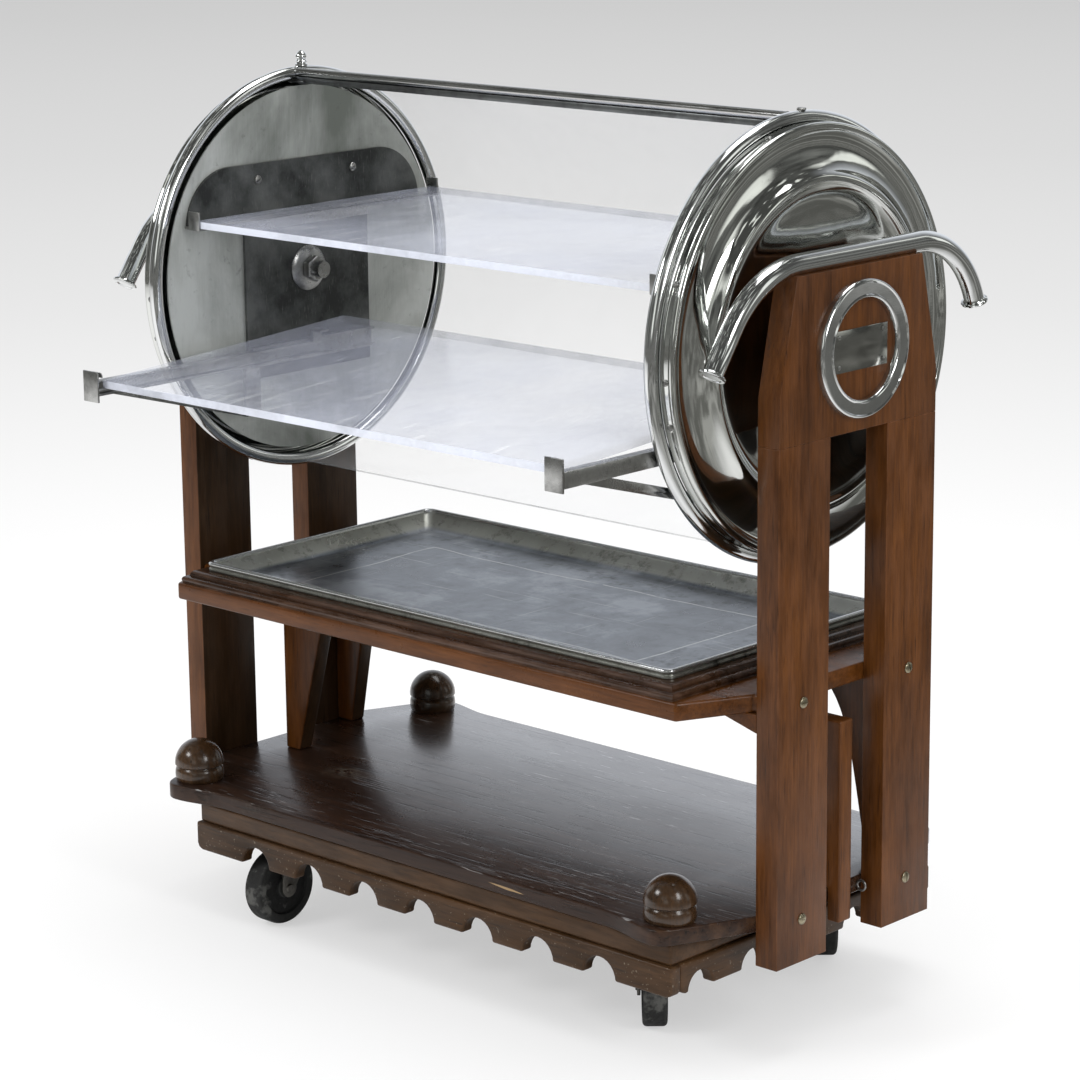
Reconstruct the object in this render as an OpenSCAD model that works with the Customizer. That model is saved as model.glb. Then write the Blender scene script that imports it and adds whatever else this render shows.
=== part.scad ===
// Dessert trolley with a rolling drum cover, two clear shelves, a lift-out tray and a low deck.
// The floor is z = 0, the open front faces -Y, and x = 0 is midway between the end frames.

/* [Overall] */
// Height of the drum's axis above the floor
axis_h = 831; // [800:1:870]
// Width over the outer faces of the two end frames
frame_w = 1024; // [980:1:1080]

/* [End frames] */
// Thickness of the end-frame boards
board_t = 32; // [26:1:36]
// Depth of an end frame, front to rear
frame_depth = 290; // [270:1:310]
// Width of the slot between the two uprights
slot_w = 106; // [90:1:120]
// Height of the uprights' lower ends above the floor
leg_bottom_h = 115; // [105:1:125]
// Height of a head board
head_h = 192; // [180:1:200]
// Width of a head board at its top
head_top_w = 230; // [210:1:250]
// Height of a head board's straight lower part
head_square_h = 55; // [40:1:70]

/* [Deck] */
// Height of the deck's underside above the floor
deck_h = 156; // [152:1:162]
// Thickness of the deck
deck_t = 20; // [16:1:24]
// Depth of the deck between its flared corners
deck_depth = 492; // [480:1:500]
// How far each nose of the deck stands out past its front edge
nose_out = 14; // [8:1:20]
// Distance of a nose from the end frame's inner face
nose_in = 65; // [55:1:75]
// Radius of a nose
nose_r = 25; // [18:1:30]
// Length of the S curve that leads to a nose
flare_w = 80; // [60:1:100]
// Half width of the deck's straight ends
deck_end_y = 148; // [146:1:160]
// Radius of a corner finial's ball
finial_r = 32; // [26:1:34]
// Height of a corner finial
finial_h = 55; // [50:1:62]
// Distance of a finial's centre from the deck's nose line
finial_inset = 42; // [38:1:48]
// Radius of the ring of the small screw eye in the deck's end
eye_r = 6; // [4:0.5:8]

/* [Aprons] */
// How much shorter the apron frame is than the space between the end frames
apron_short = 133; // [120:1:150]
// Depth of the apron frame
apron_depth = 494; // [486:1:500]
// Sideways shift of the apron frame and casters from the middle
apron_shift = 25; // [0:1:30]
// Height of the aprons' lower edge above the floor
apron_bottom_h = 91; // [86:1:96]
// Thickness of the apron boards
apron_t = 18; // [14:1:20]
// Height of the band between the aprons and the deck
band_h = 27; // [20:1:30]
// How far the band stands back from the aprons
band_step = 4; // [2:1:6]
// Radius of the half-round notches in the long aprons
notch_r = 25; // [20:1:28]
// Spacing of the notches in the long aprons
notch_pitch = 100; // [90:1:105]
// Number of notches in each long apron
notch_count = 7; // [3:2:7]
// Radius of the half-round notches in the short aprons
side_notch_r = 22; // [18:1:24]
// Spacing of the notches in the short aprons
side_pitch = 96.5; // [85:0.5:98]

/* [Tray shelf] */
// Height of the tray shelf's underside above the floor
shelf_h = 420; // [410:1:430]
// Thickness of the tray shelf
shelf_t = 22; // [18:1:26]
// Depth of the tray shelf
shelf_depth = 458; // [454:1:470]
// How far the tray shelf's front and rear edges end before the end frame's inner face
shelf_edge_in = 50; // [40:1:52]
// Width of the tab that meets an end frame
shelf_tab_w = 280; // [260:1:286]
// Depth of the canted corner's end beside the frame
shelf_cant_x = 8; // [4:1:12]
// Distance of the moulding's foot from the end frame's inner face
moulding_in = 56; // [53:1:60]
// Half depth of the moulding's foot
moulding_y = 227; // [224:1:228]
// Height of the moulding
moulding_h = 17; // [14:1:20]
// Radius of the moulding's rounded steps
step_r = 7; // [5:1:8]

/* [Serving tray] */
// Distance of the tray's rim from the end frame's inner face
tray_in = 79; // [76:1:84]
// Half depth of the tray over its rim
tray_y = 206; // [200:1:208]
// Height of the tray's rim above the moulding
rim_h = 12; // [9:1:14]
// Radius of the rolled rim
rim_r = 3; // [2.5:0.5:4]
// Thickness of the tray's metal
tray_t = 1.5; // [1.2:0.1:2]
// Corner radius of the tray's rim
tray_corner_r = 12; // [10:1:20]
// Depth of the tray from its rim to its floor
tray_depth = 24; // [18:1:26]
// How far the sloping sides run inward
tray_slope = 22; // [18:1:26]

/* [Drum] */
// Outer radius of the bead rings
ring_r = 265; // [255:1:270]
// Radius of a bead ring's tube
bead_r = 8.5; // [7:0.5:10]
// Distance of a bead ring's middle from the end frame's inner face
ring_in = 61; // [58:1:65]
// Radius of the flat band beside a bead ring
band_r = 252; // [250:0.5:254]
// Width of the flat band beside a bead ring
drum_band_w = 16; // [14:1:18]
// Radius of the bead between the band and the spun end
rim_bead_r = 4.5; // [3.5:0.5:5]
// Radius of the raised ridge on the spun end
ridge_r = 189; // [180:1:195]
// How far the ridge stands out past the band
ridge_out = 14; // [10:1:15]
// Thickness of the spun metal
drum_t = 2; // [1.5:0.1:2.5]
// Thickness of the clear cover
sheet_t = 2; // [1.5:0.1:2.2]
// Radius of the middle of the clear cover's wall
sheet_r = 259; // [256:0.5:260]
// Radius of the rod along the cover's edge
rod_r = 6; // [5:0.5:7]
// Height of the edge channel under the rod
strip_h = 8; // [6:0.5:9]
// Radius of the acorn nut
acorn_r = 8.5; // [7:0.5:9]
// Height of the acorn nut
acorn_h = 20; // [16:1:22]
// Radius of the axle stubs
axle_r = 11; // [9:0.5:12]
// Radius of the sleeve that turns on an axle stub
sleeve_r = 20; // [17:1:24]

/* [Inner plates] */
// Radius of the liner discs
liner_r = 240; // [235:1:243]
// Distance of a liner disc's face from the end frame's inner face
liner_in = 65; // [62:1:67]
// Thickness of a liner disc
liner_t = 2; // [1.5:0.5:3]
// Thickness of the T-shaped plates
plate_t = 4; // [3:0.5:5]
// Half width of the T-shaped plate's bar
bar_y = 207; // [200:1:212]
// Height of the T-shaped plate's bar
bar_h = 68; // [60:1:74]
// Half width of the T-shaped plate's stem
stem_y = 110; // [100:1:118]
// How far the stem reaches below the axis
stem_drop = 136; // [132:1:145]

/* [Clear shelves] */
// Height of the upper shelf's underside above the axis
upper_rise = 78; // [70:1:82]
// Thickness of the upper shelf
upper_t = 9; // [6:0.5:10]
// Distance of the upper shelf's end from the end frame's inner face
upper_in = 88; // [84:1:94]
// Half depth of the upper shelf
upper_y = 212; // [205:1:214]
// Thickness of the shelf rails and clips
rail_t = 3; // [2:0.5:4]
// Distance of the lower shelf's end from the end frame's inner face
lower_in = 95; // [90:1:100]
// Depth of the lower shelf
lower_depth = 416; // [405:1:418]
// Thickness of the lower shelf
lower_t = 10; // [8:0.5:11]
// Forward lean of the lower shelf in degrees
lower_lean = 3.7; // [2:0.1:4]
// How far the arms' clips reach in front of the axis
front_reach = 390; // [386:1:393]
// How far the arms run behind the axis
arm_rear = 6; // [2:1:8]
// Height of a shelf arm
arm_h = 19; // [16:1:22]
// Width of a shelf arm
arm_w = 14; // [12:1:16]
// How far the arms' tops lie below the axis
arm_drop = 96; // [92:1:100]
// Depth of the diagonal struts
strut_w = 12; // [9:1:14]

/* [Handles and badges] */
// Radius of the handle tubes
tube_r = 12.5; // [11:0.5:14]
// Length of a handle's straight part in front of the axis
grip_front = 96; // [85:1:105]
// Length of a handle's straight part behind the axis
grip_rear = 125; // [115:1:130]
// Radius of a handle's front bend
front_bend_r = 140; // [125:1:150]
// Angle of a handle's front bend
front_bend = 55; // [45:1:60]
// Length of a handle's straight front end
front_tail = 54; // [45:1:62]
// Radius of a handle's rear bend
rear_bend_r = 120; // [110:1:125]
// Angle of a handle's rear bend
rear_bend = 70; // [60:1:75]
// Outer radius of a medallion ring
medal_r = 81; // [76:1:86]
// Inner radius of a medallion ring
medal_in_r = 58.5; // [56:0.5:62]
// Thickness of a medallion ring
medal_t = 10; // [8:1:12]
// Length of a blank nameplate
plate_w = 98; // [90:1:100]
// Height of a blank nameplate
plate_h = 49; // [44:1:54]

/* [Posts and brackets] */
// Thickness of the posts and brackets
post_t = 24; // [20:1:28]
// Width of a rear bracket on the deck
bracket_foot = 28; // [24:1:32]
// Width of a rear bracket under the tray shelf
bracket_top = 130; // [110:1:140]
// Distance of the left post's outer edge from the end frame's inner face
post_in = 49; // [40:1:55]
// Width of the left post on the deck
post_foot = 26; // [20:1:32]
// Width of the left post under the tray shelf
post_top = 92; // [80:1:100]
// How far the right fin stands out past the deck's end
fin_out = 18; // [12:1:24]
// Height of the right fin
fin_h = 250; // [220:1:262]

/* [Casters] */
// Radius of the caster wheels
wheel_r = 49; // [46:1:50]
// Width of the caster wheels
wheel_w = 30; // [26:1:32]
// Distance from a wheel's axle to its swivel axis
trail = 30; // [26:1:34]
// Distance of a swivel axis from the end frame's inner face, before the sideways shift
caster_in = 165; // [155:1:175]
// Half spacing of the casters across the trolley
caster_y = 163; // [150:1:166]
// Thickness of the caster forks
fork_t = 4; // [3:0.5:5]

/* [Hidden] */
$fn = 64;

wood = "#7a3118";
dark_wood = "#5a2512";
brass = "#b08a3e";
chrome = "#d8d8dc";
steel = "#a8a8ac";
dark_metal = "#35302e";
clear = "#cfe0dc80";

// Clearances: seats of fixed pieces, sliding pieces, turning pieces and screw shanks
seat_gap = 0.1;
slide_gap = 0.3;
run_gap = 0.05;
shank_gap = 0.1;

// The drum's axis lies behind the origin, so that the origin is the footprint's centre
drum_y = (front_reach - ring_r) / 2;

inner_x = frame_w / 2 - board_t;
outer_x = frame_w / 2;

// Distances from the middle of the trolley
nose_x = inner_x - nose_in;
shelf_edge_x = inner_x - shelf_edge_in;
moulding_x = inner_x - moulding_in;
tray_x = inner_x - tray_in;
ring_x = inner_x - ring_in;
liner_x = inner_x - liner_in;
upper_x = inner_x - upper_in;
lower_x = inner_x - lower_in;
post_x = inner_x - post_in;
caster_x = inner_x - caster_in;
apron_w = 2 * inner_x - apron_short;

leg_w = (frame_depth - slot_w) / 2;
leg_mid_y = (frame_depth + slot_w) / 4;
head_bottom = axis_h - head_h / 2;
deck_top = deck_h + deck_t;
shelf_top = shelf_h + shelf_t;
saddle = 2.5;
handle_x = outer_x - board_t / 2;
handle_h = head_h / 2 + tube_r - saddle;

screw_r = 3;
screw_head_r = 6.8;
screw_head_h = 3;
screw_len = 60;
screw_heights = [deck_h + deck_t / 2 + 2, shelf_h + shelf_t / 2];

// Draws the child at the right end, or its mirror image at the left end
module at_end(side) {
    if (side < 0) mirror([1, 0, 0]) children();
    else children();
}

// Moves the drum's axis to its place above the footprint
module placed() {
    translate([0, drum_y, 0]) children();
}

// Lays an outline drawn in y and z flat, t thick towards +X, from the place x
module end_board(x, t) {
    translate([x, 0, 0]) rotate([90, 0, 90]) linear_extrude(t) children();
}

// Lays an outline drawn in x and z upright, t thick towards +Y, from the place y
module cross_board(y, t) {
    translate([0, y + t, 0]) rotate([90, 0, 0]) linear_extrude(t) children();
}

// Turns a profile drawn in radius and x about the drum's axis
module spun(start = 0, sweep = 360) {
    translate([0, 0, axis_h]) rotate([90, 0, 90]) rotate([0, 0, start])
        rotate_extrude(angle = sweep, $fn = 180) children();
}

// A straight rod along the drum's axis from the place x
module axis_rod(x, length, r) {
    translate([x, 0, axis_h]) rotate([0, 90, 0]) cylinder(r = r, h = length);
}

// A rounded screw head with a slot, standing on z = 0
module slotted_head(r, h, slot_w) {
    difference() {
        intersection() {
            cylinder(r = r, h = h);
            translate([0, 0, h - 2 * r]) sphere(r = 2 * r);
        }
        translate([-r, -slot_w / 2, h / 2]) cube([2 * r, slot_w, h]);
    }
}

// Frame screws and the holes that they pass through

module frame_screw_places(rows) {
    for (row = rows, z = screw_heights)
        translate([outer_x, row * leg_mid_y, z]) rotate([0, 90, 0]) children();
}

module frame_screw_holes(rows) {
    frame_screw_places(rows) translate([0, 0, -screw_len - 1])
        cylinder(r = screw_r + shank_gap, h = screw_len + 2);
}

module frame_screws() {
    slot = 1.6;
    color(brass) placed() for (side = [-1, 1]) at_end(side) frame_screw_places([-1, 1]) {
        translate([0, 0, -screw_len]) cylinder(r = screw_r, h = screw_len);
        slotted_head(screw_head_r, screw_head_h, slot);
    }
}

// End frames

module upright(side, row) {
    color(wood) placed() at_end(side) difference() {
        translate([inner_x, row > 0 ? slot_w / 2 : -frame_depth / 2, leg_bottom_h])
            cube([board_t, leg_w, head_bottom - leg_bottom_h]);
        frame_screw_holes([row]);
    }
}

module head(side) {
    top = head_h / 2;
    shoulder = head_square_h - top;
    color(wood) placed() at_end(side) difference() {
        end_board(inner_x, board_t) translate([0, axis_h]) polygon([
            [-frame_depth / 2, -top], [frame_depth / 2, -top], [frame_depth / 2, shoulder],
            [head_top_w / 2, top], [-head_top_w / 2, top], [-frame_depth / 2, shoulder]]);
        axis_rod(inner_x - 1, board_t + 2, axle_r + run_gap);
        handle_line(tube_r + seat_gap);
        nail_places() translate([0, 0, -nail_len - 1]) cylinder(r = nail_r + shank_gap, h = nail_len + 2);
    }
}

// Medallions and blank nameplates

nail_r = 1.2;
nail_len = 8;
nail_head_r = 2.6;
nail_head_h = 1.4;
nameplate_t = 1;
nail_inset_y = 8.5;
nail_inset_z = 7;

module nail_places() {
    for (y = [-1, 1] * (plate_w / 2 - nail_inset_y), z = [-1, 1] * (plate_h / 2 - nail_inset_z))
        translate([outer_x, y, axis_h + z]) rotate([0, 90, 0]) children();
}

module medallions() {
    lip = 3;
    color(chrome) placed() for (side = [-1, 1]) at_end(side) spun() polygon([
        [medal_in_r, outer_x], [medal_r, outer_x], [medal_r, outer_x + medal_t - 2 * lip],
        [medal_r - lip, outer_x + medal_t - lip], [medal_r - 3 * lip, outer_x + medal_t],
        [medal_in_r + 2 * lip, outer_x + medal_t], [medal_in_r, outer_x + medal_t - 2 * lip]]);
}

module nameplates() {
    color(steel) placed() for (side = [-1, 1]) at_end(side) difference() {
        end_board(outer_x, nameplate_t) translate([-plate_w / 2, axis_h - plate_h / 2])
            square([plate_w, plate_h]);
        nail_places() translate([0, 0, -1]) cylinder(r = nail_r + shank_gap, h = nameplate_t + 2);
    }
}

module nails() {
    color(steel) placed() for (side = [-1, 1]) at_end(side) nail_places() {
        translate([0, 0, -nail_len]) cylinder(r = nail_r, h = nail_len + nameplate_t);
        translate([0, 0, nameplate_t]) intersection() {
            cylinder(r = nail_head_r, h = nail_head_r);
            translate([0, 0, nail_head_h - 2 * nail_head_r]) sphere(r = 2 * nail_head_r);
        }
    }
}

// Handles: a bent tube, with a straight flanged ferrule in front and a flanged cap behind

cap_t = 4;
cap_flange = 4;
plug_len = 3;
tube_t = 2;

// The mouth of a handle's front bend, looking out
module front_mouth() {
    translate([handle_x, -grip_front - front_bend_r * sin(front_bend),
        axis_h + handle_h - front_bend_r * (1 - cos(front_bend))])
        rotate([90 + front_bend, 0, 0]) children();
}

// The mouth of a handle's rear bend, looking out
module rear_mouth() {
    translate([handle_x, grip_rear + rear_bend_r * sin(rear_bend),
        axis_h + handle_h - rear_bend_r * (1 - cos(rear_bend))])
        rotate([-90 - rear_bend, 0, 0]) children();
}

// The line of a handle, drawn as a solid rod of the radius r
module handle_line(r) {
    translate([handle_x, grip_rear, axis_h + handle_h]) rotate([90, 0, 0])
        cylinder(r = r, h = grip_rear + grip_front);
    translate([handle_x, -grip_front, axis_h + handle_h - front_bend_r]) rotate([0, 90, 0])
        rotate([0, 0, 180]) rotate_extrude(angle = front_bend, $fn = 180)
        translate([front_bend_r, 0]) circle(r = r);
    translate([handle_x, grip_rear, axis_h + handle_h - rear_bend_r]) rotate([0, 90, 0])
        rotate([0, 0, 180]) rotate_extrude(angle = -rear_bend, $fn = 180)
        translate([rear_bend_r, 0]) circle(r = r);
}

module handle(side) {
    color(chrome) placed() at_end(side) difference() {
        handle_line(tube_r);
        handle_line(tube_r - tube_t);
    }
}

// A flanged end of the straight length l, plugged into the tube behind it
module handle_end(l) {
    cylinder(r = tube_r, h = l + 1);
    translate([0, 0, l]) cylinder(r = tube_r + cap_flange, h = cap_t);
    translate([0, 0, -plug_len]) cylinder(r = tube_r - tube_t - seat_gap, h = plug_len + 1);
}

module handle_caps() {
    color(chrome) placed() for (side = [-1, 1]) at_end(side) {
        front_mouth() handle_end(front_tail);
        rear_mouth() handle_end(cap_t);
    }
}

// Deck with flared corners

nose_c = [nose_x, deck_depth / 2 + nose_out - nose_r];
cant_way = [inner_x - nose_c[0], deck_end_y - nose_c[1]];
cant_angle = atan2(cant_way[1], cant_way[0]) + acos(nose_r / norm(cant_way));
flare_steps = 8;
nose_steps = 6;

function ease(t) = t * t * (3 - 2 * t);

// One quarter of the deck's outline, from the middle of the front edge to the end
deck_quarter = concat(
    [for (i = [0:flare_steps - 1]) [nose_x - flare_w * (1 - i / flare_steps),
        deck_depth / 2 + nose_out * ease(i / flare_steps)]],
    [for (i = [0:nose_steps]) nose_c + nose_r
        * [cos(90 - (90 - cant_angle) * i / nose_steps), sin(90 - (90 - cant_angle) * i / nose_steps)]],
    [[inner_x, deck_end_y]]);

function flipped(points, sx, sy) = [for (p = points) [sx * p[0], sy * p[1]]];
function backwards(points) = [for (i = [len(points) - 1:-1:0]) points[i]];

module deck() {
    color(wood) placed() difference() {
        translate([0, 0, deck_h]) linear_extrude(deck_t) polygon(concat(
            deck_quarter, backwards(flipped(deck_quarter, 1, -1)),
            flipped(deck_quarter, -1, -1), backwards(flipped(deck_quarter, -1, 1))));
        for (side = [-1, 1]) at_end(side) frame_screw_holes([-1, 1]);
        eye_place() translate([0, 0, -eye_len - 1]) cylinder(r = eye_wire + shank_gap, h = eye_len + 1);
    }
}

eye_wire = 1.6;
eye_len = 14;
eye_y = 45;

module eye_place() {
    translate([inner_x, eye_y, deck_h + deck_t / 2]) rotate([0, 90, 0]) children();
}

module deck_eye() {
    color(steel) placed() eye_place() {
        translate([0, 0, -eye_len]) cylinder(r = eye_wire, h = eye_len + eye_wire);
        translate([0, 0, eye_wire + eye_r]) rotate([90, 0, 0]) rotate_extrude()
            translate([eye_r, 0]) circle(r = eye_wire, $fn = 24);
    }
}

// Turned finials: a grooved collar under a ball

finial_back = 3;
side_notches = 5;

module finial() {
    collar_h = finial_h - finial_r;
    groove = 2.5;
    rotate_extrude() difference() {
        union() {
            square([finial_r - groove, collar_h + 1]);
            square([finial_r, collar_h / 3]);
            translate([0, collar_h * 0.45]) square([finial_r - 1, collar_h / 4]);
            intersection() {
                translate([0, collar_h]) circle(r = finial_r);
                translate([0, collar_h - groove]) square([finial_r, finial_r + groove]);
            }
        }
        translate([-2 * finial_r, 0]) square([2 * finial_r, finial_h + 1]);
    }
}

module finials() {
    x = nose_x - finial_back;
    y = deck_depth / 2 + nose_out - finial_inset;
    color(wood) placed() for (sx = [-1, 1], sy = [-1, 1]) translate([sx * x, sy * y, deck_top]) finial();
}

// Band and scalloped aprons under the deck

module hollow_frame(w, d, t, h) {
    difference() {
        translate([-w / 2, -d / 2, 0]) cube([w, d, h]);
        translate([t - w / 2, t - d / 2, -1]) cube([w - 2 * t, d - 2 * t, h + 2]);
    }
}

band_bottom = deck_h - band_h;

module band() {
    color(dark_wood) placed() translate([apron_shift, 0, band_bottom])
        hollow_frame(apron_w - 2 * band_step, apron_depth - 2 * band_step, apron_t, band_h);
}

module scalloped(length, count, pitch, r) {
    difference() {
        translate([-length / 2, apron_bottom_h]) square([length, band_bottom - apron_bottom_h]);
        for (i = [0:count - 1]) translate([(i - (count - 1) / 2) * pitch, apron_bottom_h]) circle(r = r);
    }
}

module long_apron(row) {
    color(wood) placed() translate([apron_shift, 0, 0])
        cross_board(row > 0 ? apron_depth / 2 - apron_t : -apron_depth / 2, apron_t)
        scalloped(apron_w, notch_count, notch_pitch, notch_r);
}

module short_apron(side) {
    color(wood) placed() translate([apron_shift, 0, 0])
        end_board(side > 0 ? apron_w / 2 - apron_t : -apron_w / 2, apron_t)
        scalloped(apron_depth - 2 * apron_t, side_notches, side_pitch, side_notch_r);
}

// Tray shelf, moulding and tray

module tray_shelf() {
    y = shelf_depth / 2;
    tab = shelf_tab_w / 2;
    cant_x = inner_x - shelf_cant_x;
    color(wood) placed() difference() {
        translate([0, 0, shelf_h]) linear_extrude(shelf_t) polygon([
            [-shelf_edge_x, -y], [shelf_edge_x, -y], [cant_x, -tab], [inner_x, -tab],
            [inner_x, tab], [cant_x, tab], [shelf_edge_x, y], [-shelf_edge_x, y],
            [-cant_x, tab], [-inner_x, tab], [-inner_x, -tab], [-cant_x, -tab]]);
        for (side = [-1, 1]) at_end(side) frame_screw_holes([-1, 1]);
    }
}

moulding_w = 31;

// The moulding's section: two rounded steps, outside at x = 0, inside at x = -moulding_w
module moulding_outline() {
    half = moulding_h / 2;
    translate([-moulding_w, 0]) square([moulding_w - step_r, moulding_h - step_r]);
    translate([-moulding_w, 0]) square([moulding_w - 2 * step_r, moulding_h]);
    translate([-step_r, 0]) square([step_r, half - step_r / 2]);
    intersection() {
        translate([-step_r / 2 - 1, half - step_r / 2]) circle(r = step_r / 2 + 1);
        translate([-step_r, 0]) square([step_r, moulding_h]);
    }
    translate([-2 * step_r, moulding_h - step_r]) circle(r = step_r);
}

// One side of a mitred frame w wide, of the half length l, at the distance d from the middle
module mitred_side(l, d, w, h) {
    intersection() {
        translate([-l, -d, 0]) rotate([90, 0, 90]) linear_extrude(2 * l) mirror([1, 0]) children();
        linear_extrude(h) polygon([
            [-l, -d], [l, -d], [l - w - 1, -d + w + 1], [-l + w + 1, -d + w + 1]]);
    }
}

// Runs an outline, its outside at x = 0, round a rectangle with mitred corners
module mitred_frame(half_x, half_y, w, h) {
    for (turn = [0, 180]) rotate([0, 0, turn]) {
        mitred_side(half_x, half_y, w, h) children();
        rotate([0, 0, 90]) mitred_side(half_y, half_x, w, h) children();
    }
}

module moulding() {
    color(wood) placed() translate([0, 0, shelf_top])
        mitred_frame(moulding_x, moulding_y, moulding_w, moulding_h) moulding_outline();
}

// Sweeps a profile drawn in distance and z round a rounded rectangle
module swept_frame(half_x, half_y, corner) {
    cx = half_x - corner;
    cy = half_y - corner;
    for (turn = [0, 180]) rotate([0, 0, turn]) {
        translate([cx, cy, 0]) rotate_extrude(angle = 90) children();
        translate([-cx, cy, 0]) rotate([0, 0, 90]) rotate_extrude(angle = 90) children();
        translate([cx, cy, 0]) rotate([90, 0, 0]) linear_extrude(2 * cy) children();
        translate([-cx, cy, 0]) rotate([90, 0, 90]) linear_extrude(2 * cx) children();
    }
}

module rounded_plate(half_x, half_y, corner, t) {
    linear_extrude(t) union() {
        for (sx = [-1, 1], sy = [-1, 1])
            translate([sx * (half_x - corner), sy * (half_y - corner)]) circle(r = corner);
        translate([corner - half_x, -half_y]) square([2 * (half_x - corner), 2 * half_y]);
        translate([-half_x, corner - half_y]) square([2 * half_x, 2 * (half_y - corner)]);
    }
}

moulding_top = shelf_top + moulding_h;
rim_top = moulding_top + rim_h;
rim_c = rim_top - rim_r;
tray_floor = rim_top - tray_depth;

// The tray's edge: a skirt that stands on the moulding under a rolled rim
module tray_edge() {
    translate([tray_corner_r - tray_t, moulding_top]) square([tray_t, rim_c - moulding_top]);
    translate([tray_corner_r - rim_r, rim_c]) circle(r = rim_r, $fn = 32);
}

// The tray's sloping side, its outside at x = 0
module tray_side() {
    wall = 2 * tray_t;
    polygon([[0, rim_c - tray_floor], [-wall, rim_c - tray_floor], [-tray_slope - wall, tray_t],
        [-tray_slope - wall, 0], [-tray_slope, 0]]);
}

module tray() {
    side_x = tray_x - rim_r;
    side_y = tray_y - rim_r;
    color(chrome) placed() {
        swept_frame(tray_x, tray_y, tray_corner_r) tray_edge();
        translate([0, 0, tray_floor]) {
            intersection() {
                mitred_frame(side_x, side_y, tray_slope + 2 * tray_t, tray_depth) tray_side();
                rounded_plate(side_x, side_y, tray_corner_r - rim_r, tray_depth);
            }
            translate([tray_slope - side_x, tray_slope - side_y, 0])
                cube([2 * (side_x - tray_slope), 2 * (side_y - tray_slope), tray_t]);
        }
    }
}

// Posts and brackets between the deck and the tray shelf

bracket_steps = 10;
bracket_back = 1;
post_y = -45;

// How the width of a bracket grows from the deck to the tray shelf: evenly, then in a flare
function bracket_growth(t) = 0.45 * t + 0.55 * pow(t, 7);

module rear_brackets() {
    rise = shelf_h - deck_top;
    slim = bracket_top - bracket_foot;
    color(wood) placed() for (side = [-1, 1]) at_end(side)
        cross_board(leg_mid_y - bracket_back, post_t) polygon(concat(
            [[inner_x, deck_top]],
            [for (i = [0:bracket_steps]) [inner_x - bracket_foot - slim * bracket_growth(i / bracket_steps),
                deck_top + rise * i / bracket_steps]],
            [[inner_x, shelf_h]]));
}

module front_cleats() {
    cleat_w = 75;
    cleat_h = 23;
    cleat_end = 3;
    color(wood) placed() for (side = [-1, 1]) at_end(side)
        cross_board(-frame_depth / 2, post_t) polygon([
            [inner_x, shelf_h], [inner_x - cleat_w, shelf_h], [inner_x - cleat_w, shelf_h - cleat_end],
            [inner_x, shelf_h - cleat_h]]);
}

module post_left() {
    color(wood) placed() cross_board(post_y, post_t) polygon([
        [-post_x, deck_top], [post_foot - post_x, deck_top], [post_top - post_x, shelf_h],
        [-post_x, shelf_h]]);
}

module fin_right() {
    fin_bottom = 135;
    fin_in = 30;
    fin_top = 40;
    outer = inner_x + fin_out;
    color(wood) placed() cross_board(-post_t / 2, post_t) polygon([
        [outer, fin_bottom], [outer, fin_bottom + fin_h], [outer - fin_top, fin_bottom + fin_h],
        [inner_x - fin_in, deck_top], [inner_x, deck_top], [inner_x, fin_bottom]]);
}

// Axles, sleeves and nuts on the drum's axis

sleeve_in = liner_x + liner_t + slide_gap;
sleeve_out = inner_x - slide_gap;
nut_disc_t = 7;
nut_t = 12;
axle_tip = 12;
sleeve_flange = 14;
sleeve_flange_t = 4;
nut_disc_in = liner_x - plate_t - nut_disc_t;
axle_in = nut_disc_in - nut_t - axle_tip;

module axles() {
    color(steel) placed() for (side = [-1, 1]) at_end(side)
        axis_rod(axle_in, outer_x - 1 - axle_in, axle_r);
}

module hub_nuts() {
    color(chrome) placed() for (side = [-1, 1]) at_end(side) difference() {
        union() {
            axis_rod(nut_disc_in, nut_disc_t, 2 * axle_r);
            translate([nut_disc_in - nut_t, 0, axis_h]) rotate([0, 90, 0])
                cylinder(r = 1.6 * axle_r, h = nut_t, $fn = 6);
        }
        axis_rod(axle_in, nut_disc_t + nut_t + axle_tip + 1, axle_r + run_gap);
    }
}

module hub_sleeves() {
    color(steel) placed() for (side = [-1, 1]) at_end(side) difference() {
        union() {
            axis_rod(sleeve_in, sleeve_out - sleeve_in, sleeve_r);
            axis_rod(dish_hub_x - drum_t - sleeve_flange_t, sleeve_flange_t, sleeve_r + sleeve_flange);
        }
        axis_rod(sleeve_in - 1, sleeve_out - sleeve_in + 2, axle_r + run_gap);
    }
}

// Drum ends: bead ring, flat band, spun dish with a raised ridge

bead_c = ring_r - bead_r;
band_x = ring_x + bead_r;
rim_x = band_x + drum_band_w;
ridge_x = rim_x + ridge_out;
ridge_tube = 5;
dish_rise = 2;
dish_hub_x = rim_x + dish_rise;
screw_eye_x = band_x + drum_band_w / 2;
groove_depth = 4;

module bead_ring(side) {
    color(chrome) placed() at_end(side) difference() {
        spun() difference() {
            union() {
                translate([bead_c, ring_x]) circle(r = bead_r);
                translate([ring_r - 2 * bead_r, ring_x]) square([band_r - ring_r + 2 * bead_r, bead_r]);
            }
            translate([sheet_r - sheet_t / 2 - seat_gap, ring_x - bead_r])
                square([sheet_t + 2 * seat_gap, groove_depth]);
        }
        ring_bolt_place() translate([0, 0, -2 * bead_r - 1])
            cylinder(r = bolt_r + shank_gap, h = 2 * bead_r + 2);
    }
}

dish_in = -3;
foot_w = 22;
crest_w = 8;
bowl_r = 115;
hub_bead_r = 66;
hub_bead_w = 4;
hub_bead_h = 2;

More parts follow.
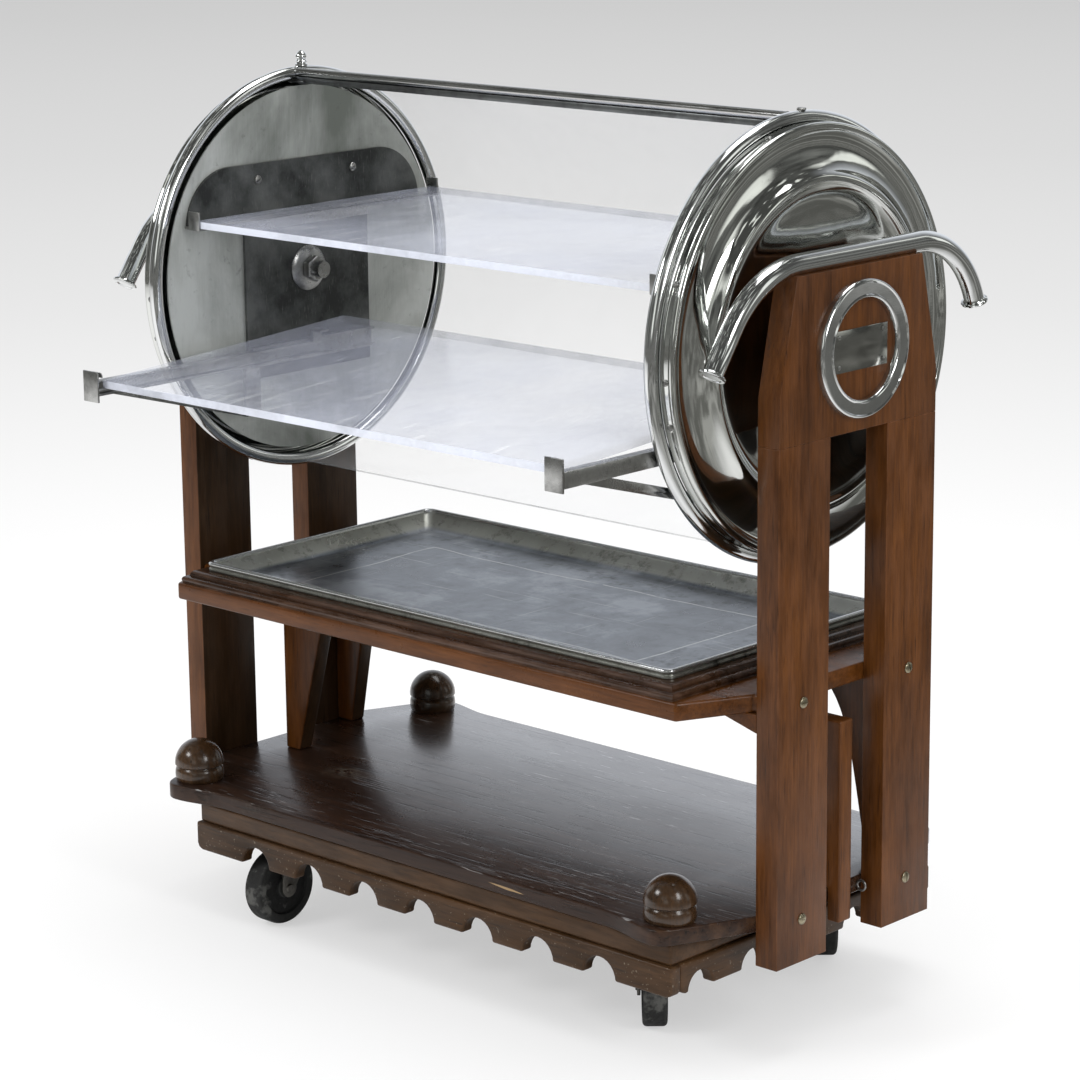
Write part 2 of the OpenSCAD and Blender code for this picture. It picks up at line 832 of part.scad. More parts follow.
// The dish's line: radius and how far it stands out past the band's edge
dish_line = [
    [band_r - drum_t, 0], [band_r - 4 * rim_bead_r, dish_in], [ridge_r + foot_w, 1],
    [ridge_r + crest_w, ridge_out - 6], [ridge_r, ridge_out], [ridge_r - crest_w, ridge_out - 5],
    [ridge_r - foot_w - 4, 4], [bowl_r, 0], [hub_bead_r + hub_bead_w, dish_rise],
    [hub_bead_r + hub_bead_w / 2, dish_rise + hub_bead_h],
    [hub_bead_r - hub_bead_w / 2, dish_rise + hub_bead_h], [hub_bead_r - hub_bead_w, dish_rise],
    [sleeve_r + run_gap, dish_rise]];

module drum_end(side) {
    color(chrome) placed() at_end(side) difference() {
        spun() union() {
            translate([band_r - drum_t, band_x]) square([drum_t, drum_band_w]);
            translate([band_r - rim_bead_r + 1, rim_x]) circle(r = rim_bead_r, $fn = 32);
            translate([ridge_r, ridge_x - ridge_tube + 2]) circle(r = ridge_tube, $fn = 32);
            polygon(concat(
                [for (p = dish_line) [p[0], rim_x + p[1]]],
                [for (p = backwards(dish_line)) [p[0], rim_x + p[1] - drum_t]]));
        }
        band_screw_places() translate([0, 0, -band_screw_len - 1])
            cylinder(r = band_screw_r + shank_gap, h = band_screw_len + 3);
    }
}

// Angles of the band screws from the top of the drum towards the front
band_screw_angles = [17, 68, 93, 105, 150, 210, 255, 300, 335];
band_screw_r = 1.5;
band_screw_len = 5;

module band_screw_places() {
    for (angle = band_screw_angles) translate([screw_eye_x, 0, axis_h]) rotate([angle, 0, 0])
        translate([0, 0, band_r]) children();
}

module band_screws() {
    color(steel) placed() for (side = [-1, 1]) at_end(side) band_screw_places() {
        translate([0, 0, -band_screw_len]) cylinder(r = band_screw_r, h = band_screw_len);
        slotted_head(4, 2.5, 1);
    }
}

// Rolling cover: clear sheet, rod, channel and its two bolts

rod_y = -8;
rod_z = ring_r - rod_r - 1;
rod_x = ring_x - bead_r - slide_gap;
sheet_x = ring_x - bead_r + groove_depth - seat_gap;
sheet_start = -93;
sheet_end_y = -5;
sheet_end = 90 + asin(-sheet_end_y / sheet_r);
rod_t = 1.5;
strip_w = 8;
tongue_len = 14;
tongue_side = 6;
bolt_y = 5;
bolt_r = 2.5;
tongue_in = ring_r - 2 * bead_r - 4;
tongue_t = 3.2;

module cover_sheet() {
    color(clear) placed() spun(sheet_start, sheet_end - sheet_start)
        translate([sheet_r - sheet_t / 2, -sheet_x]) square([sheet_t, 2 * sheet_x]);
}

module cover_rod() {
    color(chrome) placed() difference() {
        translate([-rod_x, rod_y, axis_h + rod_z]) rotate([0, 90, 0])
            linear_extrude(2 * rod_x) difference() {
                circle(r = rod_r, $fn = 32);
                circle(r = rod_r - rod_t, $fn = 32);
            }
        translate([-ring_x, rod_y, axis_h + sheet_r - sheet_t / 2 - slide_gap])
            cube([2 * ring_x, rod_r + 1, sheet_t + 2 * slide_gap]);
    }
}

module rod_strip() {
    top = rod_z - rod_r;
    tongue_x = ring_x + bead_r - 2;
    color(steel) placed() difference() {
        translate([0, 0, axis_h]) {
            translate([-rod_x, rod_y - strip_w / 2, top - strip_h]) cube([2 * rod_x, strip_w, strip_h]);
            translate([-tongue_x, rod_y - tongue_side, tongue_in])
                cube([2 * tongue_x, bolt_y - rod_y + 2 * tongue_side, tongue_t]);
        }
        for (side = [-1, 1]) at_end(side) {
            ring_bolt_place() translate([0, 0, tongue_in - ring_r - 1])
                cylinder(r = bolt_r + shank_gap, h = tongue_t + 2);
        }
        for (y = [rod_y + strip_w / 2, rod_y - strip_w / 2 - 30])
            translate([tongue_len - rod_x, y, axis_h]) cube([2 * (rod_x - tongue_len), 30, ring_r]);
    }
}

module ring_bolt_place() {
    translate([ring_x, bolt_y, axis_h + ring_r]) children();
}

module ring_bolt_shank() {
    reach = ring_r - tongue_in;
    translate([0, 0, -reach]) cylinder(r = bolt_r, h = reach);
    translate([0, 0, -reach - 2.4]) cylinder(r = 4.5, h = 2.4);
}

module acorn_bolt() {
    color(chrome) placed() at_end(-1) ring_bolt_place() {
        ring_bolt_shank();
        cylinder(r = acorn_r, h = 2);
        cylinder(r = acorn_r - 1, h = acorn_h - acorn_r + 1, $fn = 6);
        translate([0, 0, acorn_h - acorn_r + 1]) sphere(r = acorn_r - 1);
    }
}

module plain_bolt() {
    color(steel) placed() ring_bolt_place() {
        ring_bolt_shank();
        cylinder(r = 6, h = 4, $fn = 6);
    }
}

// Liner discs and T-shaped plates

plate_screw_y = 85;
plate_screw_z = upper_rise + bar_h - 21;
plate_corner_r = bar_h + 6;
plate_screw_r = 2.5;

module plate_screw_places() {
    for (y = [-1, 1] * plate_screw_y)
        translate([liner_x - plate_t, y, axis_h + plate_screw_z]) rotate([0, -90, 0]) children();
}

module plate_screw_holes() {
    plate_screw_places() translate([0, 0, -plate_t - liner_t - 1])
        cylinder(r = plate_screw_r + shank_gap, h = plate_t + liner_t + 2);
}

module liners() {
    color(steel) placed() for (side = [-1, 1]) at_end(side) difference() {
        axis_rod(liner_x, liner_t, liner_r, $fn = 180);
        axis_rod(liner_x - 1, liner_t + 2, axle_r + run_gap);
        plate_screw_holes();
    }
}

module t_outline() {
    corner = plate_corner_r;
    translate([-stem_y, -stem_drop]) square([2 * stem_y, stem_drop + upper_rise + 1]);
    intersection() {
        translate([-bar_y, upper_rise]) square([2 * bar_y, bar_h]);
        union() {
            translate([corner - bar_y, upper_rise]) square([2 * (bar_y - corner), bar_h]);
            for (s = [-1, 1]) translate([s * (bar_y - corner), upper_rise + bar_h - corner])
                circle(r = corner);
        }
    }
}

module t_plates() {
    color(dark_metal) placed() for (side = [-1, 1]) at_end(side) difference() {
        end_board(liner_x - plate_t, plate_t) translate([0, axis_h]) t_outline();
        axis_rod(liner_x - plate_t - 1, plate_t + 2, axle_r + run_gap);
        plate_screw_holes();
    }
}

module plate_screws() {
    color(steel) placed() for (side = [-1, 1]) at_end(side) plate_screw_places() {
        translate([0, 0, -plate_t - liner_t]) cylinder(r = plate_screw_r, h = plate_t + liner_t);
        slotted_head(6, 3.5, 1.4);
    }
}

// Upper shelf and its rails

clip_reach = 12;
flange_h = 17;
rail_in = upper_x - clip_reach;
rail_out = liner_x - plate_t;
clip_h = 24;

module upper_shelf() {
    color(clear) placed() translate([-upper_x, -upper_y, axis_h + upper_rise])
        cube([2 * upper_x, 2 * upper_y, upper_t]);
}

module upper_rails() {
    low = axis_h + upper_rise - rail_t;
    color(steel) placed() for (side = [-1, 1]) at_end(side) {
        translate([rail_in, -upper_y, low]) cube([rail_out - rail_in, 2 * upper_y, rail_t]);
        translate([rail_out - rail_t, -stem_y, low + 1 - flange_h]) cube([rail_t, 2 * stem_y, flange_h]);
        for (y = [-upper_y - rail_t, upper_y])
            translate([rail_in, y, low]) cube([upper_x + 8 - rail_in, rail_t, clip_h]);
    }
}

// Lower shelf and its sliding arms

arm_out = liner_x - plate_t - rail_t - slide_gap;
arm_in = arm_out - arm_w;
arm_top = axis_h - arm_drop;
arm_bottom = arm_top - arm_h;
shelf_set_back = 13;
lower_front_y = -front_reach + shelf_set_back;
ledge_drop = 7.3;
ledge_top = arm_top - ledge_drop;
ledge_len = 26;
arm_hook = 5;
hook_in = lower_x - arm_hook;
rest_y = -10;
rest_len = 16;
rest_post_w = 6;

// Height of the lower shelf's underside at the depth y
function lower_under(y) = ledge_top + slide_gap + (y - lower_front_y) * tan(lower_lean);

module lower_shelf() {
    color(clear) placed() end_board(-lower_x, 2 * lower_x)
        translate([lower_front_y, ledge_top + slide_gap]) rotate(lower_lean) square([lower_depth, lower_t]);
}

module shelf_arm(side) {
    clip_low = arm_bottom - 5;
    rest_top = lower_under(rest_y) - seat_gap;
    front = -front_reach + rail_t;
    color(steel) placed() at_end(side) {
        difference() {
            translate([arm_in, front, arm_bottom]) cube([arm_w, arm_rear - front, arm_h]);
            translate([arm_in - 1, front + 20, arm_bottom + rail_t])
                cube([arm_w - rail_t + 1, arm_rear - front - 40, arm_h - 2 * rail_t]);
        }
        translate([hook_in, -front_reach, clip_low]) cube([arm_out - hook_in, rail_t, clip_h + 15]);
        translate([hook_in, front, ledge_top - rail_t]) cube([arm_in + 1 - hook_in, ledge_len, rail_t]);
        translate([hook_in, rest_y, rest_top - rail_t])
            cube([arm_in + rest_post_w - hook_in, rest_len, rail_t]);
        translate([arm_in, rest_y, arm_top - 1]) cube([rest_post_w, rest_len, rest_top - arm_top + 1]);
    }
}

strut_top_y = -332;
strut_foot_y = -130;
strut_drop = 58;
strut_foot_w = 26;
strut_in = arm_in + 0.5;
strut_t = 6;

module struts() {
    slope = strut_drop / (strut_foot_y - strut_top_y);
    lean = strut_w / 2 / cos(atan(slope));
    color(steel) placed() for (side = [-1, 1]) at_end(side) end_board(strut_in, strut_t)
        translate([0, arm_bottom]) {
            polygon([[strut_top_y - lean / slope, 0], [strut_top_y + lean / slope, 0],
                [strut_foot_y, lean - strut_drop], [strut_foot_y, -lean - strut_drop]]);
            translate([strut_foot_y - 1, -strut_drop - lean]) square([strut_foot_w, strut_drop + lean]);
        }
}

// Guides that the arms slide in
module guides() {
    lip_in = strut_in + strut_t + 1;
    back = liner_x - plate_t - rail_t;
    low = arm_bottom - slide_gap - rail_t;
    height = arm_h + 2 * slide_gap + 2 * rail_t;
    color(steel) placed() for (side = [-1, 1]) at_end(side) {
        translate([back, -stem_y, low]) cube([rail_t, 2 * stem_y, height]);
        for (z = [low, low + height - rail_t])
            translate([lip_in, -stem_y, z]) cube([back - lip_in + 1, 2 * stem_y, rail_t]);
    }
}

// Casters

caster_plate_w = 64;
caster_plate_t = 3;
boss_r = 17;
boss_h = 11;
stem_r = 6;
pin_r = 6;
cup_r = 20;
crown_t = 5;
crown_gap = 6;
crown_low = 2 * wheel_r + crown_gap;
cup_top = deck_h - caster_plate_t - boss_h - slide_gap;
fork_in = wheel_w / 2 + 2;

// The way that each wheel trails behind its swivel axis, in degrees from +X
trail_front_left = -90;
trail_front_right = 133;
trail_rear_left = -60;
trail_rear_right = 133;

module caster_spot(side, row, heading) {
    placed() translate([apron_shift + side * caster_x, row * caster_y, 0])
        rotate([0, 0, heading]) children();
}

module caster_plates() {
    color(steel) for (side = [-1, 1], row = [-1, 1]) caster_spot(side, row, 0) difference() {
        union() {
            translate([-caster_plate_w / 2, -caster_plate_w / 2, deck_h - caster_plate_t])
                cube([caster_plate_w, caster_plate_w, caster_plate_t]);
            translate([0, 0, deck_h - caster_plate_t - boss_h]) cylinder(r = boss_r, h = boss_h + 1);
        }
        translate([0, 0, deck_h - caster_plate_t - boss_h - 1])
            cylinder(r = stem_r + run_gap, h = boss_h + 1);
    }
}

module fork_cheek() {
    rotate([90, 0, 0]) linear_extrude(fork_t) union() {
        translate([trail, wheel_r]) circle(r = 2 * pin_r);
        polygon([[-cup_r + 2, crown_low + 1], [trail + 8, crown_low + 1], [trail + 2 * pin_r, wheel_r],
            [trail - 11, wheel_r - 5]]);
    }
}

module fork(side, row, heading) {
    color(steel) caster_spot(side, row, heading) {
        translate([-cup_r, -fork_in - fork_t, crown_low])
            cube([cup_r + trail + 8, 2 * (fork_in + fork_t), crown_t]);
        translate([0, 0, crown_low]) cylinder(r = cup_r, h = cup_top - crown_low);
        translate([0, 0, crown_low]) cylinder(r = stem_r, h = cup_top - crown_low + boss_h - 1);
        translate([0, -fork_in, 0]) fork_cheek();
        translate([0, fork_in + fork_t, 0]) fork_cheek();
        translate([trail, fork_in + fork_t + 2, wheel_r]) rotate([90, 0, 0])
            cylinder(r = pin_r, h = 2 * (fork_in + fork_t + 2));
    }
}

module wheel(side, row, heading) {
    half = wheel_w / 2;
    shoulder = 5;
    hollow_r = wheel_r * 0.52;
    hollow_w = wheel_r * 0.46;
    hollow = 4;
    bore = pin_r + run_gap;
    color(dark_metal) caster_spot(side, row, heading) translate([trail, 0, wheel_r]) rotate([90, 0, 0])
        rotate_extrude() difference() {
            union() {
                translate([bore, shoulder - half]) square([wheel_r - bore, wheel_w - 2 * shoulder]);
                translate([bore, -half]) square([wheel_r - shoulder - bore, wheel_w]);
                for (s = [-1, 1]) translate([wheel_r - shoulder, s * (half - shoulder)])
                    circle(r = shoulder, $fn = 32);
            }
            for (s = [-1, 1]) translate([hollow_r, s * half]) square([hollow_w, 2 * hollow], center = true);
        }
}

upright(-1, -1);  // upright_front_left
upright(1, -1);  // upright_front_right
upright(-1, 1);  // upright_rear_left
upright(1, 1);  // upright_rear_right
head(-1);  // head_left
head(1);  // head_right
deck();
band();
long_apron(-1);  // apron_front
long_apron(1);  // apron_rear
short_apron(-1);  // apron_left
short_apron(1);  // apron_right
finials();
deck_eye();
tray_shelf();
moulding();
tray();
post_left();
fin_right();
rear_brackets();
front_cleats();
frame_screws();
medallions();
nameplates();
nails();
handle(-1);  // handle_left
handle(1);  // handle_right
handle_caps();
axles();
bead_ring(-1);  // bead_ring_left
bead_ring(1);  // bead_ring_right
drum_end(-1);  // drum_end_left
drum_end(1);  // drum_end_right
hub_sleeves();
band_screws();
cover_sheet();
cover_rod();
rod_strip();
acorn_bolt();
plain_bolt();
liners();
t_plates();
plate_screws();
hub_nuts();
upper_shelf();
upper_rails();
lower_shelf();
shelf_arm(-1);  // arm_left
shelf_arm(1);  // arm_right
struts();
guides();
caster_plates();
fork(-1, -1, trail_front_left);  // fork_front_left
fork(1, -1, trail_front_right);  // fork_front_right
fork(-1, 1, trail_rear_left);  // fork_rear_left
fork(1, 1, trail_rear_right);  // fork_rear_right
wheel(-1, -1, trail_front_left);  // wheel_front_left
wheel(1, -1, trail_front_right);  // wheel_front_right
wheel(-1, 1, trail_rear_left);  // wheel_rear_left
wheel(1, 1, trail_rear_right);  // wheel_rear_right
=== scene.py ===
# %% [markdown]
# A dessert trolley, dressed over its measured frame
#
# The real trolley is a restaurant piece of varnished mahogany and polished metal. Two end
# frames carry a drum, and a clear cover rolls round inside the drum's shining rings. The
# frame that is loaded here already holds every part at its true size and place. This lesson
# models the parts again with soft edges and turned shapes, and gives each a finish.

# %% Load the measured frame
import math

import bpy
from mathutils import Matrix, Vector


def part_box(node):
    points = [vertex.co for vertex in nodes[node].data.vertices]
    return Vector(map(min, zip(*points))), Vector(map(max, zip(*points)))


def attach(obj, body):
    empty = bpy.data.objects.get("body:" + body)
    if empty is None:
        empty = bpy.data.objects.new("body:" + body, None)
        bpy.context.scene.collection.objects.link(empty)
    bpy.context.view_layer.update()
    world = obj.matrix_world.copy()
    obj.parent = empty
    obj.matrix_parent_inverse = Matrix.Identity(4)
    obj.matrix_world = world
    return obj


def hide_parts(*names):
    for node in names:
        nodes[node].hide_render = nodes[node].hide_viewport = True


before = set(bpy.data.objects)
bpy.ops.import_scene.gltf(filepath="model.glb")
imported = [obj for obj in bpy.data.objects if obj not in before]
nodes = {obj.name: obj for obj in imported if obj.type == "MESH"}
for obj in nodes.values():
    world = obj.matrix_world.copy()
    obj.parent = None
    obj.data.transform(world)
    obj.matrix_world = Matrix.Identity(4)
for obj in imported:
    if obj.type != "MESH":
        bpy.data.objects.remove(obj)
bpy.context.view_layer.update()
print("frame nodes:", len(nodes))

# %% [markdown]
# Every length is in metres. The drum's axis is the line that most parts are placed from, so
# its height and depth are read from a bead ring. The floor is z = 0 and the front is -Y.

# %% Find the drum's axis and the end frames
ring_low, ring_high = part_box("bead_ring_right")
axis_y = (ring_low.y + ring_high.y) / 2
axis_z = (ring_low.z + ring_high.z) / 2
ring_radius = (ring_high.z - ring_low.z) / 2
ring_x = (ring_low.x + ring_high.x) / 2
axis_point = (0, axis_y, axis_z)
frame_low, frame_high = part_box("upright_front_right")
inner_x, outer_x = frame_low.x, frame_high.x
print("axis at", round(axis_y, 4), round(axis_z, 4), "ring radius", round(ring_radius, 4))

# %% [markdown]
# New pieces are made with the same operators that a person uses by hand. An operator acts on
# everything that is selected, so each helper first clears the selection. A finished piece
# keeps its object at the origin, with its place in its mesh.

# %% Helpers to start and settle a piece
tau = 2 * math.pi
mm = 0.001


def clear_selection():
    if bpy.context.mode != "OBJECT":
        bpy.ops.object.mode_set(mode="OBJECT")
    bpy.ops.object.select_all(action="DESELECT")


def activate(piece):
    clear_selection()
    piece.select_set(True)
    bpy.context.view_layer.objects.active = piece


def settle(piece):
    activate(piece)
    bpy.ops.object.transform_apply(location=True, rotation=True, scale=True)


def started(name, scale=(1, 1, 1)):
    """Names the shape that was just added, and settles its place and size in its mesh."""
    piece = bpy.context.active_object
    piece.name = name
    piece.scale = scale
    settle(piece)
    return piece


def select_mesh():
    bpy.ops.mesh.select_all(action="SELECT")


def edit_all():
    """Opens the piece for editing, with all of it selected."""
    bpy.ops.object.mode_set(mode="EDIT")
    select_mesh()


def extrude(step):
    bpy.ops.mesh.extrude_region_move(TRANSFORM_OT_translate={"value": step})


def tidy_normals():
    select_mesh()
    bpy.ops.mesh.remove_doubles(threshold=1e-5)
    bpy.ops.mesh.normals_make_consistent(inside=False)


def modify(piece, kind, **settings):
    """Adds a modifier to the piece and applies it."""
    activate(piece)
    modifier = piece.modifiers.new(kind, kind)
    for key, value in settings.items():
        setattr(modifier, key, value)
    bpy.ops.object.modifier_apply(modifier=modifier.name)


def soften(piece, width, segments=3):
    """Rounds the edges that turn sharply, then shades the piece smoothly."""
    if width:
        modify(piece, "BEVEL", width=width, segments=segments, angle_limit=math.radians(35))
    activate(piece)
    bpy.ops.object.shade_smooth_by_angle(angle=math.radians(40))


# %% [markdown]
# Most shapes start as a line. A plane is merged to one point, and that point is extruded from
# place to place, which draws the line of a board's edge or of a turned part's section. Small
# sections are easiest to read in millimetres, so they are written as rows of two lengths.

# %% Helpers that draw a line, fill it or turn it
def measured(rows, across=0.0, up=0.0):
    """Rows of two lengths in millimetres as metres, each length from a start of its own."""
    return [(across + first * mm, up + second * mm) for first, second in rows]


def arc(middle, radius, start, end, steps):
    """Points on a circle, from one angle in degrees to another."""
    turns = [math.radians(start + (end - start) * i / steps) for i in range(steps + 1)]
    return [(middle[0] + radius * math.cos(t), middle[1] + radius * math.sin(t)) for t in turns]


def draw_line(name, points, closed=False):
    clear_selection()
    bpy.ops.mesh.primitive_plane_add(size=0.001, location=points[0])
    piece = started(name)
    bpy.ops.object.mode_set(mode="EDIT")
    bpy.ops.mesh.select_mode(type="VERT")
    select_mesh()
    bpy.ops.mesh.merge(type="CENTER")
    here = Vector(points[0])
    for point in points[1:]:
        extrude(Vector(point) - here)
        here = Vector(point)
    if closed:
        select_mesh()
        bpy.ops.mesh.edge_face_add()
    return piece


def make_board(name, outline, thickness, edge=0.002, segments=3):
    """Fills an outline and extrudes it by the thickness, a vector."""
    piece = draw_line(name, outline, closed=True)
    extrude(thickness)
    tidy_normals()
    soften(piece, edge, segments)
    return piece


def make_turning(name, section, centre, axis, steps, closed=True, edge=0):
    """Turns a section round an axis, for rings, bowls and turned wood."""
    piece = draw_line(name, section, closed)
    if closed:
        select_mesh()
        bpy.ops.mesh.delete(type="ONLY_FACE")
    select_mesh()
    bpy.ops.mesh.spin(steps=steps, angle=tau, center=centre, axis=axis)
    tidy_normals()
    soften(piece, edge)
    return piece


def turn_upright(name, section, steps, foot=(0, 0, 0), closed=False, edge=0):
    """Turns radii and heights round the upright line through the foot."""
    x, y, z = foot
    return make_turning(name, [(x + radius, y, z + height) for radius, height in section],
                        foot, (0, 0, 1), steps, closed, edge)


def turn_on_axis(name, section, steps, edge=0):
    """Turns radii and places along x round the drum's axis."""
    return make_turning(name, [(x, axis_y, axis_z + radius) for radius, x in section],
                        axis_point, (1, 0, 0), steps, edge=edge)


def make_block(name, low, high, edge=0.001, segments=2):
    """A board or bar between two corners, with rounded edges."""
    low, high = Vector(low), Vector(high)
    clear_selection()
    bpy.ops.mesh.primitive_cube_add(size=1, location=(low + high) / 2)
    piece = started(name, high - low)
    soften(piece, edge, segments)
    return piece


def copied(piece, name, shift=(0, 0, 0), turn=None):
    """A copy of a piece with its own mesh, turned about the origin by a matrix and then moved."""
    copy = piece.copy()
    copy.data = piece.data.copy()
    copy.name = name
    bpy.context.scene.collection.objects.link(copy)
    copy.data.transform(Matrix.Translation(Vector(shift)) @ (turn or Matrix.Identity(4)))
    return copy


def mirrored(piece, name):
    """A copy of a right-hand piece for the left end, with its own mesh."""
    copy = copied(piece, name)
    activate(copy)
    edit_all()
    bpy.ops.transform.mirror(constraint_axis=(True, False, False), center_override=(0, 0, 0))
    bpy.ops.mesh.normals_make_consistent(inside=False)
    bpy.ops.object.mode_set(mode="OBJECT")
    return copy


def join(pieces, name):
    clear_selection()
    for piece in pieces:
        piece.select_set(True)
    bpy.context.view_layer.objects.active = pieces[0]
    bpy.ops.object.join()
    whole = bpy.context.active_object
    whole.name = name
    return whole


# %% Helpers that give a piece its finish and its body
def finish_piece(piece, body, slot, finish, *replaced):
    if bpy.context.mode != "OBJECT":
        bpy.ops.object.mode_set(mode="OBJECT")
    piece.data.materials.clear()
    piece.data.materials.append(finish)
    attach(piece, body)
    if replaced:
        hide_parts(*replaced)
    print(piece.name, "faces", len(piece.data.polygons))


def refinish(piece, finish, is_chosen):
    """Gives another finish to the faces that a test picks out."""
    piece.data.materials.append(finish)
    for face in piece.data.polygons:
        if is_chosen(face):
            face.material_index = len(piece.data.materials) - 1


def finish_pair(right, body, slot, finish, node, left_node=None):
    """Finishes a right-hand piece and its mirror image. A node may hold one end or both."""
    left = mirrored(right, right.name.replace("right", "left"))
    finish_piece(right, body, slot, finish, node)
    finish_piece(left, body, slot, finish, *([left_node] if left_node else []))
    return right, left


# %% [markdown]
# A finish is a small graph of shader nodes. Written as plain sums it is far easier to read,
# so a socket is wrapped in a class that knows plus, minus, times and divide. Every other node
# comes from one method that takes its type, its settings and what goes into its sockets.

# %% A wrapped socket and a finish
def maths(operation, swapped=False):
    """A method that adds a maths node, with its two values swapped if asked."""
    def method(wire, other=0):
        first, second = (other, wire) if swapped else (wire, other)
        return wire.finish.node("ShaderNodeMath", {"operation": operation}, {0: first, 1: second})
    return method


class Wire:
    """A number or colour that flows through a finish."""

    def __init__(self, finish, socket):
        self.finish = finish
        self.socket = socket

    __add__, __radd__ = maths("ADD"), maths("ADD", swapped=True)
    __sub__, __rsub__ = maths("SUBTRACT"), maths("SUBTRACT", swapped=True)
    __mul__, __rmul__ = maths("MULTIPLY"), maths("MULTIPLY", swapped=True)
    __truediv__ = maths("DIVIDE")
    __pow__ = maths("POWER")
    __abs__ = maths("ABSOLUTE")
    larger = maths("MAXIMUM")


class Graph:
    """A node graph, of a material or of the world."""

    def __init__(self, tree):
        self.tree = tree

    def node(self, kind, settings=None, inputs=None, out=0):
        made = self.tree.nodes.new(kind)
        for key, value in (settings or {}).items():
            if key == "stops":
                self.set_stops(made.color_ramp, value)
            else:
                setattr(made, key, value)
        for key, value in (inputs or {}).items():
            self.plug(made.inputs[key], value)
        return Wire(self, made.outputs[out])

    def plug(self, socket, value):
        if isinstance(value, Wire):
            self.tree.links.new(value.socket, socket)
        else:
            socket.default_value = value

    def set_stops(self, ramp, stops):
        while len(ramp.elements) < len(stops):
            ramp.elements.new(0.5)
        for element, (place, colour) in zip(ramp.elements, stops):
            element.position = place
            element.color = (*colour, 1)

    def split(self, vector):
        """The x, y and z of a vector."""
        made = self.node("ShaderNodeSeparateXYZ", None, {0: vector}).socket.node
        return [Wire(self, made.outputs[i]) for i in range(3)]

    def place(self, scale=(1, 1, 1), turn=(0, 0, 0)):
        where = self.node("ShaderNodeTexCoord", out="Object")
        return self.node("ShaderNodeMapping", None,
                         {"Vector": where, "Scale": scale, "Rotation": turn})

    def noise(self, where, scale, detail=4.0, rough=0.55, warp=0.0):
        return self.node("ShaderNodeTexNoise", None,
                         {"Vector": where, "Scale": scale, "Detail": detail,
                          "Roughness": rough, "Distortion": warp})

    def between(self, value, low, high, out_low=0.0, out_high=1.0):
        """Stretches a value from one range to another and clamps it."""
        return self.node("ShaderNodeMapRange", None,
                         {"Value": value, "From Min": low, "From Max": high,
                          "To Min": out_low, "To Max": out_high})

    def patches(self, low, high, scale, detail=4.0, rough=0.55, stretch=(1, 1, 1)):
        """Patches of noise that grow from none at the low value to full at the high one."""
        return self.between(self.noise(self.place(stretch), scale, detail, rough), low, high)

    def blend(self, mask, first, second):
        """Mixes two colours by a mask. Each is a wire, or three numbers."""
        first, second = [c if isinstance(c, Wire) else (*c, 1) for c in (first, second)]
        return self.node("ShaderNodeMix", {"data_type": "RGBA"}, {0: mask, 6: first, 7: second}, out=2)

    def ramp(self, value, stops):
        return self.node("ShaderNodeValToRGB", {"stops": stops}, {"Fac": value})

    def bump(self, height, strength, distance):
        return self.node("ShaderNodeBump", None,
                         {"Height": height, "Strength": strength, "Distance": distance})


class Finish(Graph):
    """A material under construction."""

    def __init__(self, name):
        self.material = bpy.data.materials.new(name)
        self.material.use_nodes = True
        super().__init__(self.material.node_tree)
        self.shader = self.tree.nodes["Principled BSDF"]

    def set(self, **values):
        for key, value in values.items():
            self.plug(self.shader.inputs[key.replace("_", " ")], value)

    def worn_edges(self, low=0.52, high=0.62):
        """One on sharp outer edges, from how pointed the mesh is there."""
        point = self.node("ShaderNodeNewGeometry", out="Pointiness")
        return self.between(point, low, high)


# %% [markdown]
# Mahogany shows long straight fibres, darker bands of growth and short dark pores, and all
# of them run along the board. The coordinates are squeezed along the grain, so that round
# noise becomes long streaks. The varnish is a clear coat, duller where hands have been, and
# it is rubbed through to paler wood on the sharp edges. The aprons also carry pale specks.

# %% The mahogany finish
def mahogany(name, grain, dark, middle, light, gloss=0.36, wear=0.5, coat=0.06, specks=0.0):
    """Varnished wood whose grain runs along x, y or z."""
    wood = Finish(name)
    along = [0.06 if axis == grain else 1 for axis in "xyz"]
    streaks = wood.place(along)
    bands = wood.noise(streaks, 26, 5, 0.6, 0.6)
    fibres = wood.noise(streaks, 240, 3, 0.7)
    pores = wood.between(wood.noise(streaks, 420, 2, 0.5), 0.60, 0.72)
    clouds = wood.noise(wood.place(), 7, 3)
    figure = bands * 0.42 + fibres * 0.32 + clouds * 0.30 - 0.03
    tone = wood.ramp(figure, [(0.36, dark), (0.52, middle), (0.70, light)])
    toned = wood.blend(pores * 0.55, tone, [c * 0.35 for c in dark])
    rub = wood.patches(0.42, 0.62, 55, 4, 0.7, [0.18 if part < 1 else 1 for part in along])
    worn = wood.worn_edges() * rub * wear
    rubbed = wood.blend(worn, toned, [c * 2.6 + 0.03 for c in middle])
    dots = wood.patches(0.68, 0.72, 300, 2, 0.5) * specks
    wood.set(Base_Color=wood.blend(dots, rubbed, (0.34, 0.29, 0.22)))
    smudge = wood.noise(wood.place(), 16, 5, 0.65)
    wood.set(Roughness=wood.between(smudge, 0.3, 0.75, gloss - 0.08, gloss + 0.16) + worn * 0.2)
    wood.set(Coat_Weight=coat, Coat_Roughness=0.16, Specular_IOR_Level=0.22)
    relief = fibres * 0.6 - pores * 0.8 + bands * 0.3
    wood.set(Normal=wood.bump(relief, 0.22, 0.0006))
    return wood.material


